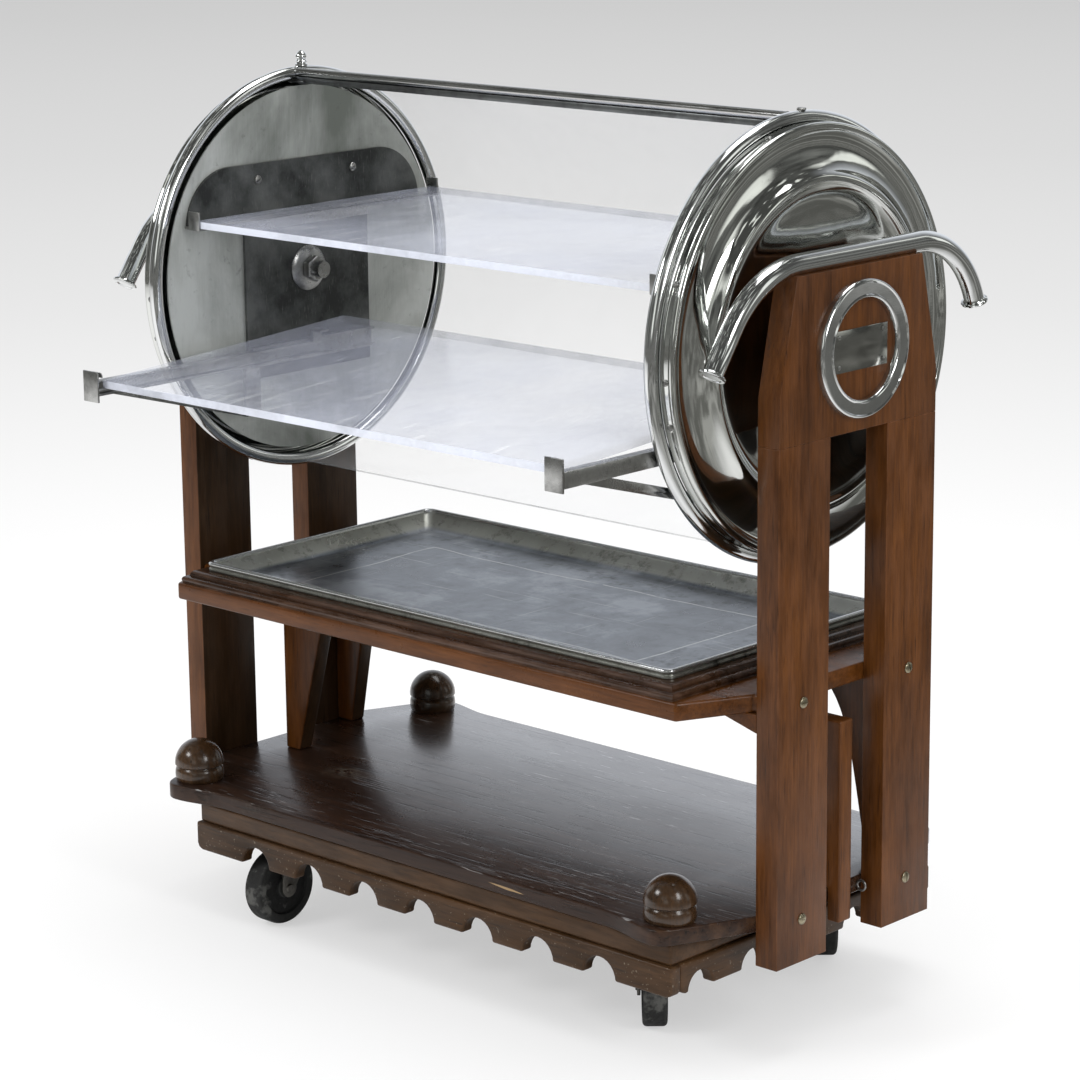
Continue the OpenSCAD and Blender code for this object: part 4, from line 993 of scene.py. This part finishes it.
# %% Rod and channel
low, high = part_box("cover_rod")
rod_y, rod_z, rod_r = (low.y + high.y) / 2, (low.z + high.z) / 2, (high.z - low.z) / 2
blunt = 0.001
half_rod = [(low.x, 0), (low.x, rod_r - blunt), (low.x + blunt, rod_r),
            (high.x - blunt, rod_r), (high.x, rod_r - blunt), (high.x, 0)]
rod = make_turning("cover_edge_rod", [(x, rod_y, rod_z + r) for x, r in half_rod],
                   (0, rod_y, rod_z), (1, 0, 0), 32, closed=False)
finish_piece(rod, "cover", "chrome", rod_metal, "cover_rod")
low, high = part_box("rod_strip")
channel_end, channel_half, tongue_start, tongue_t = 0.410, 0.004, 0.396, 0.0032
channel = make_block("cover_edge_channel", (-channel_end, rod_y - channel_half, low.z),
                     (channel_end, rod_y + channel_half, high.z))
tongues = [make_block("tongue", (x0, low.y, low.z), (x1, high.y, low.z + tongue_t), 0.0006)
           for x0, x1 in ((low.x, -tongue_start), (tongue_start, high.x))]
channel = join([channel] + tongues, "cover_edge_channel")
finish_piece(channel, "cover", "steel", dull_steel, "rod_strip")


# %% The two ring bolts
def ring_bolt(name, node, rows, steps, slot, finish, edge=0):
    """A bolt that stands on top of a bead ring. Its rows start inside the ring."""
    low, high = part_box(node)
    foot = Vector(((low.x + high.x) / 2, (low.y + high.y) / 2, axis_z + ring_radius))
    shank = [(0, -23.4), (4.5, -23.4), (4.5, -21), (2.5, -21)]
    bolt = turn_upright(name, measured(shank + rows), steps, foot, edge=edge)
    finish_piece(bolt, "cover", slot, finish, node)


acorn = [(2.5, -0.4), (8.5, 0), (8.5, 1.8), (6.8, 2.6), (6, 3.4), (7.6, 4.8), (7.8, 6), (6.6, 7.2),
         (5.8, 7.8), (7.1, 9.4), (7.6, 11.5), (7.2, 13.8), (6, 16), (4.2, 18), (2, 19.4), (0, 20)]
hexagon = [(2.5, 0), (6, 0), (6, 2), (5, 2.8), (0, 3)]
ring_bolt("acorn_nut", "acorn_bolt", acorn, 40, "chrome", chrome)
ring_bolt("plain_ring_bolt", "plain_bolt", hexagon, 6, "steel", steel, 0.0003)

# %% [markdown]
# Small screws hold everything. One rounded head is turned, and a thin block cut out of it with
# a Boolean modifier leaves the slot. Each screw is then a copy that is turned to its place.

# %% One slotted screw head
def slotted_screw(name, radius, height, slot):
    dome = [(0, -0.004), (radius * 0.42, -0.004), (radius * 0.42, -0.0002), (radius, 0)]
    for i in range(8):
        turn = tau / 4 * i / 8
        dome.append((radius * math.cos(turn), height * (0.18 + 0.82 * math.sin(turn))))
    screw = turn_upright(name, dome + [(0, height)], 32)
    cutter = make_block("slot_cutter", (-2 * radius, -slot / 2, height / 2),
                        (2 * radius, slot / 2, 2 * height), 0)
    modify(screw, "BOOLEAN", object=cutter, operation="DIFFERENCE")
    bpy.data.objects.remove(cutter)
    soften(screw, 0)
    return screw


def toward(direction, spin=0.0):
    """A turn that takes +Z to the direction, after a spin about +Z."""
    return Vector(direction).to_track_quat("Z", "Y").to_matrix().to_4x4() @ Matrix.Rotation(spin, 4, "Z")


def set_screws(master, name, places, body, slot, finish, node):
    """Copies a screw to each place and joins the copies into one piece."""
    copies = [copied(master, f"{name}_{i}", spot, toward(way, spin))
              for i, (spot, way, spin) in enumerate(places)]
    bpy.data.objects.remove(master)
    finish_piece(join(copies, name), body, slot, finish, node)


# %% Frame screws, band screws and plate screws
shelf_low, shelf_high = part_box("tray_shelf")
screw_y = 0.099
heights = ((deck_low.z + deck_high.z) / 2 + 0.002, (shelf_low.z + shelf_high.z) / 2)
spots = [((s * outer_x, axis_y + row * screw_y, z), (s, 0, 0), 0.5 + 0.9 * row * s + z)
         for s in (-1, 1) for row in (-1, 1) for z in heights]
master = slotted_screw("frame_screw", radius=0.0068, height=0.003, slot=0.0016)
set_screws(master, "frame_screw_heads", spots, "frame", "brass", brass, "frame_screws")
band_radius = profile[0][0]
spots = []
for s in (-1, 1):
    for angle in (17, 68, 93, 105, 150, 210, 255, 300, 335):
        turn = math.radians(angle)
        way = Vector((0, -math.sin(turn), math.cos(turn)))
        spots.append((Vector((s * (band_x + 0.008), axis_y, axis_z)) + band_radius * way, way, turn * 3))
master = slotted_screw("band_screw", radius=0.004, height=0.0025, slot=0.001)
set_screws(master, "band_screw_heads", spots, "cover", "steel", steel, "band_screws")
low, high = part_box("plate_screws")
plate_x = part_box("t_plates")[1].x - 0.004
spots = [((s * plate_x, axis_y + y, (low.z + high.z) / 2), (-s, 0, 0), 0.6 + y)
         for s in (-1, 1) for y in (-0.085, 0.085)]
master = slotted_screw("plate_screw", radius=0.006, height=0.0035, slot=0.0014)
set_screws(master, "plate_screw_heads", spots, "frame", "steel", steel, "plate_screws")

# %% [markdown]
# The hub at the drum's centre is a domed washer, a hexagon nut and the rounded tip of the axle.
# The liner discs and T-shaped plates behind it are flat sheets that the measured frame already
# has right, so they only take their finish.

# %% Hub nuts and inner plates
washer_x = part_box("hub_nuts")[1].x
washer = measured([(11.2, 0), (30, 0), (30, -1.2), (28.5, -2.6), (23, -4.6), (17.5, -6.2), (14, -7),
                   (11.2, -7)], up=washer_x)
nut = measured([(11.2, -7), (16.8, -7), (17.6, -8), (17.6, -17.6), (16, -19), (11.2, -19)], up=washer_x)
hub = join([turn_on_axis("right_hub_washer", washer, 64), turn_on_axis("right_hub_nut", nut, 6, 0.0004)],
           "right_hub_nut")
finish_pair(hub, "frame", "chrome", steel, "hub_nuts")


def dress(finish, *names):
    """Gives a finish to parts of the frame whose shape is right as it is."""
    for name in names:
        nodes[name].data.materials.clear()
        nodes[name].data.materials.append(finish)


dress(liner_steel, "liners")
dress(bronzed, "t_plates")
dress(steel, "axles", "hub_sleeves", "guides", "deck_eye", "nails")
dress(iron, "caster_plates")

# %% [markdown]
# Each handle is one bent tube. A ring of edges is added where the grip meets the rear bend. It
# is spun round the rear bend, extruded along the grip and spun round the front bend. A turned
# end with a rounded flange finishes each mouth.

# %% Handles
tube_r = 0.0125
grip_front, grip_rear = 0.096, 0.125
front_bend_r, front_bend, front_tail = 0.140, math.radians(55), 0.054
rear_bend_r, rear_bend, rear_tail = 0.120, math.radians(70), 0.004
low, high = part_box("handle_right")
grip = Vector(((low.x + high.x) / 2, axis_y, high.z - tube_r))
front_start, rear_start = grip - Vector((0, grip_front, 0)), grip + Vector((0, grip_rear, 0))


def bent_tube():
    clear_selection()
    bpy.ops.mesh.primitive_circle_add(vertices=32, radius=tube_r, location=rear_start,
                                      rotation=(tau / 4, 0, 0))
    piece = started("right_handle_tube")
    edit_all()
    bpy.ops.mesh.spin(steps=20, angle=rear_bend, axis=(1, 0, 0),
                      center=rear_start - Vector((0, 0, rear_bend_r)))
    bpy.ops.mesh.select_all(action="DESELECT")
    bpy.ops.object.mode_set(mode="OBJECT")
    for vertex in piece.data.vertices:
        vertex.select = abs(vertex.co.y - rear_start.y) < 1e-5
    bpy.ops.object.mode_set(mode="EDIT")
    extrude(front_start - rear_start)
    bpy.ops.mesh.spin(steps=20, angle=-front_bend, axis=(1, 0, 0),
                      center=front_start - Vector((0, 0, front_bend_r)))
    tidy_normals()
    soften(piece, 0)
    return piece


def tube_end(name, start, side, radius, bend, length):
    """A straight end of the tube with a rounded flange and a shallow dish in its face."""
    rows = [(tube_r, 0)] + measured([(0, -2), (1.2, 0), (3.4, 0.4), (4, 1.6), (3.6, 3.2), (2, 4), (-1, 4),
                                     (-2, 3)], tube_r, length)
    cap = turn_upright(f"{name}_cap", rows + [(0, length + 0.0034)], 32)
    mouth = start + Vector((0, side * radius * math.sin(bend), -radius * (1 - math.cos(bend))))
    whole = copied(cap, f"right_{name}_cap", mouth, toward((0, side * math.cos(bend), -math.sin(bend))))
    bpy.data.objects.remove(cap)
    return whole


tube = bent_tube()
caps = join([tube_end("front", front_start, -1, front_bend_r, front_bend, front_tail),
             tube_end("rear", rear_start, 1, rear_bend_r, rear_bend, rear_tail)], "right_handle_ends")
finish_pair(tube, "frame", "chrome", chrome, "handle_right", "handle_left")
finish_pair(caps, "frame", "chrome", chrome, "handle_caps")

# %% [markdown]
# A chrome ring frames a small nameplate on the outside of each head. The plate is left bare.
# The ring's section is a flat face between two rounded beads, one at its outer and one at its
# inner edge, and the plate is a thin sheet with eased corners.

# %% Medallion rings and bare nameplates
medal_out, medal_in = 0.081, 0.0585
beaded = [(0, 0), (0, 5.6), (0.6, 8), (2.2, 9.7), (3.6, 10), (5, 8.6)]
medal = measured([(-inward, high) for inward, high in beaded], medal_out, outer_x)
medal += measured(reversed(beaded), medal_in, outer_x)
finish_pair(turn_on_axis("right_medallion", medal, 96), "frame", "chrome", chrome, "medallions")
low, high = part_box("nameplates")
plate = make_block("right_nameplate", (outer_x, low.y, low.z), high, 0.0005)
finish_pair(plate, "frame", "steel", plate_steel, "nameplates")

# %% [markdown]
# The upper shelf lies level on two steel rails with upturned clips. The lower shelf leans
# forward on two arms, and its clips hold its front corners. Thick acrylic shows its polished
# edges, so both shelves are blocks with a fine bevel.

# %% Upper shelf and rails
low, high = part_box("upper_shelf")
upper = make_block("upper_clear_shelf", low, high, 0.0006)
finish_piece(upper, "frame", "clear_sheet", shelf_clear, "upper_shelf")
paint_edge_highlight_and_shade(upper)
rail_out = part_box("upper_rails")[1].x
rail_in, clip_out, rail_top = high.x - 0.012, high.x + 0.008, low.z
steel_t, stem, stem_drop, clip_tall = 0.003, 0.110, 0.016, 0.024
rail_low = rail_top - steel_t
parts = [make_block("rail", (rail_in, low.y, rail_low), (rail_out, high.y, rail_top), 0.0005),
         make_block("flange", (rail_out - steel_t, axis_y - stem, rail_low - stem_drop),
                    (rail_out, axis_y + stem, rail_top - 0.002), 0.0005)]
for y in (low.y - steel_t, high.y):
    clip_high = (clip_out, y + steel_t, rail_low + clip_tall)
    parts.append(make_block("clip", (rail_in, y, rail_low), clip_high, 0.0008))
finish_pair(join(parts, "right_upper_rail"), "frame", "steel", steel, "upper_rails")

# %% Lower shelf
low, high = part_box("lower_shelf")
lean = math.radians(3.7)
depth, thick = 0.416, 0.010
back_way = Vector((0, math.cos(lean), math.sin(lean)))
up_way = Vector((0, -math.sin(lean), math.cos(lean)))
start = Vector((low.x, low.y + thick * math.sin(lean), low.z))
corners = ((0, 0), (depth, 0), (depth, thick), (0, thick))
outline = [start + back * back_way + up * up_way for back, up in corners]
lower = make_board("lower_clear_shelf", outline, (high.x - low.x, 0, 0), 0.0006, 2)
finish_piece(lower, "shelf_carriage", "clear_sheet", shelf_clear, "lower_shelf")
paint_edge_highlight_and_shade(lower)

# %% [markdown]
# Each arm is a channel with its open side turned to the shelf. At its front end a plate stands
# up as a clip, and a curled tab behind the plate grips the shelf's corner. A diagonal strut
# braces the arm from below.

# %% Sliding arms with their clips
shelf_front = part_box("lower_shelf")[0]
low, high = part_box("arm_right")
clip_in, arm_out, front, rear, clip_low = low.x, high.x, low.y, high.y, low.z
arm_in = arm_out - 0.014
arm_bottom, arm_top = clip_low + 0.005, clip_low + 0.024
ledge = arm_top - 0.0073
rest_y = axis_y - 0.010
rest_top = shelf_front.z + (rest_y - shelf_front.y) * math.tan(lean) - 0.0006
post_out, rest_deep = arm_in + 0.006, rest_y + 0.016
channel = [(arm_in, arm_bottom), (arm_out, arm_bottom), (arm_out, arm_top), (arm_in, arm_top),
           (arm_in, arm_top - steel_t), (arm_out - steel_t, arm_top - steel_t),
           (arm_out - steel_t, arm_bottom + steel_t), (arm_in, arm_bottom + steel_t)]
curl = measured([(2.8, 38.5), (6, 38.2), (8.8, 36.6), (10.4, 33.8), (10.8, 30.5), (9.6, 30.5), (9.2, 33.4),
                 (8, 35.4), (5.8, 36.8), (2.8, 37.1)], front, clip_low)
bar_start, clip_tall, bed_deep, tab_wide = front + steel_t, 0.039, 0.026, 0.014
arm = join([
    make_board("arm_bar", [(x, bar_start, z) for x, z in channel], (0, rear - bar_start, 0), 0.0005, 2),
    make_block("clip_plate", (clip_in, front, clip_low),
               (arm_out, bar_start, clip_low + clip_tall), 0.0009),
    make_block("clip_bed", (clip_in, bar_start - 0.0005, ledge - steel_t),
               (arm_in + 0.001, bar_start + bed_deep, ledge), 0.0005),
    make_board("clip_tab", [(clip_in + 0.002, y, z) for y, z in curl], (tab_wide, 0, 0), 0.0003, 1),
    make_block("rear_rest", (clip_in, rest_y, rest_top - steel_t), (post_out, rest_deep, rest_top), 0.0005),
    make_block("rest_post", (arm_in, rest_y, arm_top - 0.001),
               (post_out, rest_deep, rest_top - 0.0005), 0.0005),
], "right_shelf_arm")
finish_pair(arm, "shelf_carriage", "steel", steel, "arm_right", "arm_left")

# %% Diagonal struts
strut_t, drop, run = 0.006, 0.058, 0.202
slope = drop / run
half_tall = strut_t / math.cos(math.atan(slope))
foot_y = axis_y - 0.130
top_y, tie_y = foot_y - run, foot_y + 0.025
meet_y = foot_y - 0.001
line = [(top_y - half_tall / slope, 0), (top_y + half_tall / slope, 0), (meet_y, half_tall - drop),
        (meet_y, 0), (tie_y, 0), (tie_y, -drop - half_tall), (meet_y, -drop - half_tall)]
strut_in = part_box("struts")[1].x - strut_t
outline = [(strut_in, y, arm_bottom + z) for y, z in line]
strut = make_board("right_strut", outline, (strut_t, 0, 0), 0.0008, 2)
finish_pair(strut, "shelf_carriage", "steel", steel, "struts")

# %% [markdown]
# A caster has a fork of two cheeks under a round cup, and a wheel with a rounded tread and a
# hollowed face. The wheel is turned from its section, and both are built at the origin, facing
# +X, and then set at each corner with the heading of that caster.

# %% Casters
wheel_r, half_wheel, trail = 0.049, 0.015, 0.030
fork_in, fork_t, axle_boss = half_wheel + 0.002, 0.004, 0.012
fork_out = fork_in + fork_t
crown = 2 * wheel_r + 0.006
cup_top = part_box("fork_front_left")[1].z - 0.010
on_axle = Matrix.Translation((trail, 0, wheel_r)) @ Matrix.Rotation(tau / 4, 4, "X")


def master_wheel():
    """The wheel's section runs from the bore over the hollowed face to the rounded tread."""
    round_r = 0.005
    rows = measured([(6.1, -1), (13, -1), (14.5, -4), (34.5, -4), (36.5, -0.8), (44.5, 0)], up=half_wheel)
    rows += arc((wheel_r - round_r, half_wheel - round_r), round_r, 72, 0, 4)
    rows += [(r, -z) for r, z in reversed(rows)]
    wheel = turn_upright("wheel", rows, 56, closed=True)
    wheel.data.transform(on_axle)
    return wheel


def master_fork():
    """Two cheeks, the crown over them, the round cup on top and the axle pin."""
    cheek_line = [(-0.018, crown + 0.001), (trail + 0.008, crown + 0.001)]
    cheek_line += arc((trail, wheel_r), axle_boss, 0, -162, 9) + [(trail - axle_boss, wheel_r + 0.002)]
    parts = [make_board("cheek", [(x, y, z) for x, z in cheek_line], (0, fork_t, 0), 0.0008, 2)
             for y in (-fork_out, fork_in)]
    crown_high = (trail + 0.008, fork_out, crown + 0.005)
    parts.append(make_block("crown", (-0.020, -fork_out, crown), crown_high, 0.0012))
    cup = measured([(0, 1), (20, 1), (20, 6), (18, 9), (19.5, 12)], up=crown)
    cup += measured([(20, -8), (17, -1), (6, 0), (6, 10), (0, 10)], up=cup_top)
    parts.append(turn_upright("cup", cup, 40))
    half_pin = [(0, 0), (0.0052, 0), (0.006, 0.001)]
    reach = fork_out + 0.002
    pin = turn_upright("pin", [(r, z - reach) for r, z in half_pin]
                       + [(r, reach - z) for r, z in reversed(half_pin)], 24)
    pin.data.transform(on_axle)
    return join(parts + [pin], "fork")


wheel_master, fork_master = master_wheel(), master_fork()
plates_low, plates_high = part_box("caster_plates")
plate_half = 0.032
headings = {("front", "left"): -90, ("front", "right"): 133, ("rear", "left"): -60, ("rear", "right"): 133}
for (row, end), heading in headings.items():
    x = plates_low.x + plate_half if end == "left" else plates_high.x - plate_half
    y = plates_low.y + plate_half if row == "front" else plates_high.y - plate_half
    turn = Matrix.Rotation(math.radians(heading), 4, "Z")
    place = f"{row}_{end}"
    fork = copied(fork_master, f"{place}_caster_fork", (x, y, 0), turn)
    wheel = copied(wheel_master, f"{place}_caster_wheel", (x, y, 0), turn)
    finish_piece(fork, f"swivel_{place}", "steel", iron, f"fork_{place}")
    finish_piece(wheel, f"wheel_{place}", "tyre", rubber, f"wheel_{place}")
bpy.data.objects.remove(wheel_master)
bpy.data.objects.remove(fork_master)

# %% [markdown]
# The trolley stands on a pale floor that runs far back, as in a studio. For the camera the
# floor fades from white near the trolley to light grey in the distance. Polished metal needs
# something to show, so for reflections the room is dark, with tall windows, a lit ceiling and
# a white backdrop behind the trolley, seen from the camera.

# %% Floor
backdrop_way = (-0.69, 0.72, 0)
window_way = (-0.69, -0.72, 0)


def facing(graph, way, goal, none, full):
    """One toward the goal on the horizon, none away from it."""
    flat = graph.node("ShaderNodeVectorMath", {"operation": "MULTIPLY"}, {0: way, 1: (1, 1, 0)})
    unit = graph.node("ShaderNodeVectorMath", {"operation": "NORMALIZE"}, {0: flat})
    turn = graph.node("ShaderNodeVectorMath", {"operation": "DOT_PRODUCT"}, {0: unit, 1: goal}, out="Value")
    return graph.between(turn, none, full)


def floor_finish():
    pale = Finish("studio_floor")
    where = pale.node("ShaderNodeTexCoord", out="Object")
    away = pale.node("ShaderNodeVectorMath", {"operation": "LENGTH"}, {0: where}, out="Value")
    stops = [(0.10, 0.97), (0.16, 0.91), (0.25, 0.83), (0.41, 0.745), (0.71, 0.65), (1.0, 0.60)]
    shade = pale.ramp(away / 20, [(distance, [grey] * 3) for distance, grey in stops])
    half_shade = pale.ramp(away / 20, [(distance, [grey * 0.46] * 3) for distance, grey in stops])
    # Seen in reflections, the floor is painted dim in patches, with painted pools of light near the trolley,
    # toward the backdrop and toward the windows.
    level = pale.between(pale.noise(pale.place(), 0.9, 3, 0.6), 0.46, 0.60, 0.08, 0.28)
    patches = pale.blend(level, (0.03, 0.03, 0.025), (1, 1, 0.96))
    near = pale.between(away, 1.5, 0.75)
    daylight = facing(pale, where, window_way, 0.72, 0.90) * pale.between(away, 8, 6)
    lit = near.larger(facing(pale, where, backdrop_way, 0.45, 0.85)).larger(daylight)
    seen = pale.blend(lit, patches, (0.85, 0.85, 0.85))
    mirror = pale.node("ShaderNodeLightPath", out="Is Glossy Ray")
    camera_ray = pale.node("ShaderNodeLightPath", out="Is Camera Ray")
    pale.set(Base_Color=pale.blend(camera_ray, pale.blend(mirror, shade, seen), half_shade))
    pale.set(Emission_Color=pale.blend(camera_ray, (0, 0, 0), half_shade), Emission_Strength=1.12)
    pale.set(Roughness=0.75, Specular_IOR_Level=0.0)
    return pale.material


clear_selection()
bpy.ops.mesh.primitive_plane_add(size=120, location=(0, 0, 0))
floor = bpy.context.active_object
floor.name = "studio_floor"
floor.data.materials.append(floor_finish())
print("floor laid")


# %% World light
def build_world():
    world = bpy.data.worlds.new("soft_room")
    world.use_nodes = True
    room = Graph(world.node_tree)
    back = room.tree.nodes["Background"]
    way = room.node("ShaderNodeTexCoord", out="Generated")
    z = room.split(way)[2]
    tall = room.node("ShaderNodeVectorMath", {"operation": "MULTIPLY"}, {0: way, 1: (1, 1, 0.35)})
    panes = room.between(room.noise(tall, 2.6, 1, 0.4), 0.56, 0.60)
    windows = panes * room.between(z, 0.02, 0.10) * room.between(z, 0.62, 0.50)
    lights = room.between(room.noise(way, 8, 1, 0.4), 0.60, 0.64)
    ceiling = room.between(z, 0.55, 0.70) * (0.08 + 1.1 * lights)
    mottled = room.between(room.noise(way, 4, 3, 0.6), 0.35, 0.7, 0.06, 0.28)
    walls = mottled * room.between(z, 0.9, 0.2, 0.3, 1)
    backdrop = facing(room, way, backdrop_way, 0.45, 0.85) * room.between(z, 0.75, 0.45)
    level = (walls + windows).larger(ceiling)
    mirror = room.node("ShaderNodeLightPath", out="Is Glossy Ray")
    grey = room.node("ShaderNodeCombineXYZ", None, {0: level * 0.98, 1: level, 2: level * 0.95})
    seen = room.blend(backdrop, grey, (0.92, 0.96, 1.03))
    room.plug(back.inputs["Color"], room.blend(mirror, (1, 1, 1), seen))
    room.plug(back.inputs["Strength"], 0.95)
    bpy.context.scene.world = world


build_world()
print("room made")


# %% Soft lamps
def soft_lamp(name, spot, target, size, power):
    clear_selection()
    bpy.ops.object.light_add(type="AREA", location=spot)
    lamp = bpy.context.active_object
    lamp.name = name
    lamp.data.shape = "RECTANGLE"
    lamp.data.size, lamp.data.size_y = size
    lamp.data.energy = power
    aim = Vector(target) - Vector(spot)
    lamp.rotation_euler = aim.to_track_quat("-Z", "Y").to_euler()
    print(name, "power", power)


soft_lamp("key_softbox", (-1.6, -3.4, 3.0), (0, 0, 0.6), (1.4, 1.0), 55)
soft_lamp("side_softbox", (3.6, -0.6, 2.2), (0, 0, 0.7), (0.8, 1.6), 40)
soft_lamp("top_softbox", (0.2, 0.8, 3.4), (0, 0, 0.6), (2.0, 1.2), 30)

# %% [markdown]
# The camera stands where the photographer's did. Its place, turn and lens were worked out from
# the trolley's own square corners and round rings, so the render lines up with the real view.

# %% Camera
azimuth, elevation, roll = math.radians(43.32), math.radians(13.545), math.radians(-0.623)
camera_spot = Vector((2.9048, -3.0750 + axis_y, 1.5437))
focal_pixels, photo_width, sensor_width = 3444.43, 1080, 36
level = math.cos(elevation)
back = Vector((math.sin(azimuth) * level, -math.cos(azimuth) * level, math.sin(elevation)))
level_right = Vector((0, 0, 1)).cross(back).normalized()
level_up = back.cross(level_right)
right = math.cos(roll) * level_right + math.sin(roll) * level_up
up = -math.sin(roll) * level_right + math.cos(roll) * level_up
clear_selection()
bpy.ops.object.camera_add(location=camera_spot)
camera = bpy.context.active_object
camera.name = "photo_camera"
camera.data.sensor_width = sensor_width
camera.data.lens = focal_pixels / photo_width * sensor_width
camera.data.clip_end = 200
turn = Matrix((right, up, back)).transposed().to_4x4()
camera.matrix_world = Matrix.Translation(camera_spot) @ turn
bpy.context.scene.camera = camera
bpy.context.scene.view_settings.view_transform = "Standard"
print("lens", round(camera.data.lens, 2))
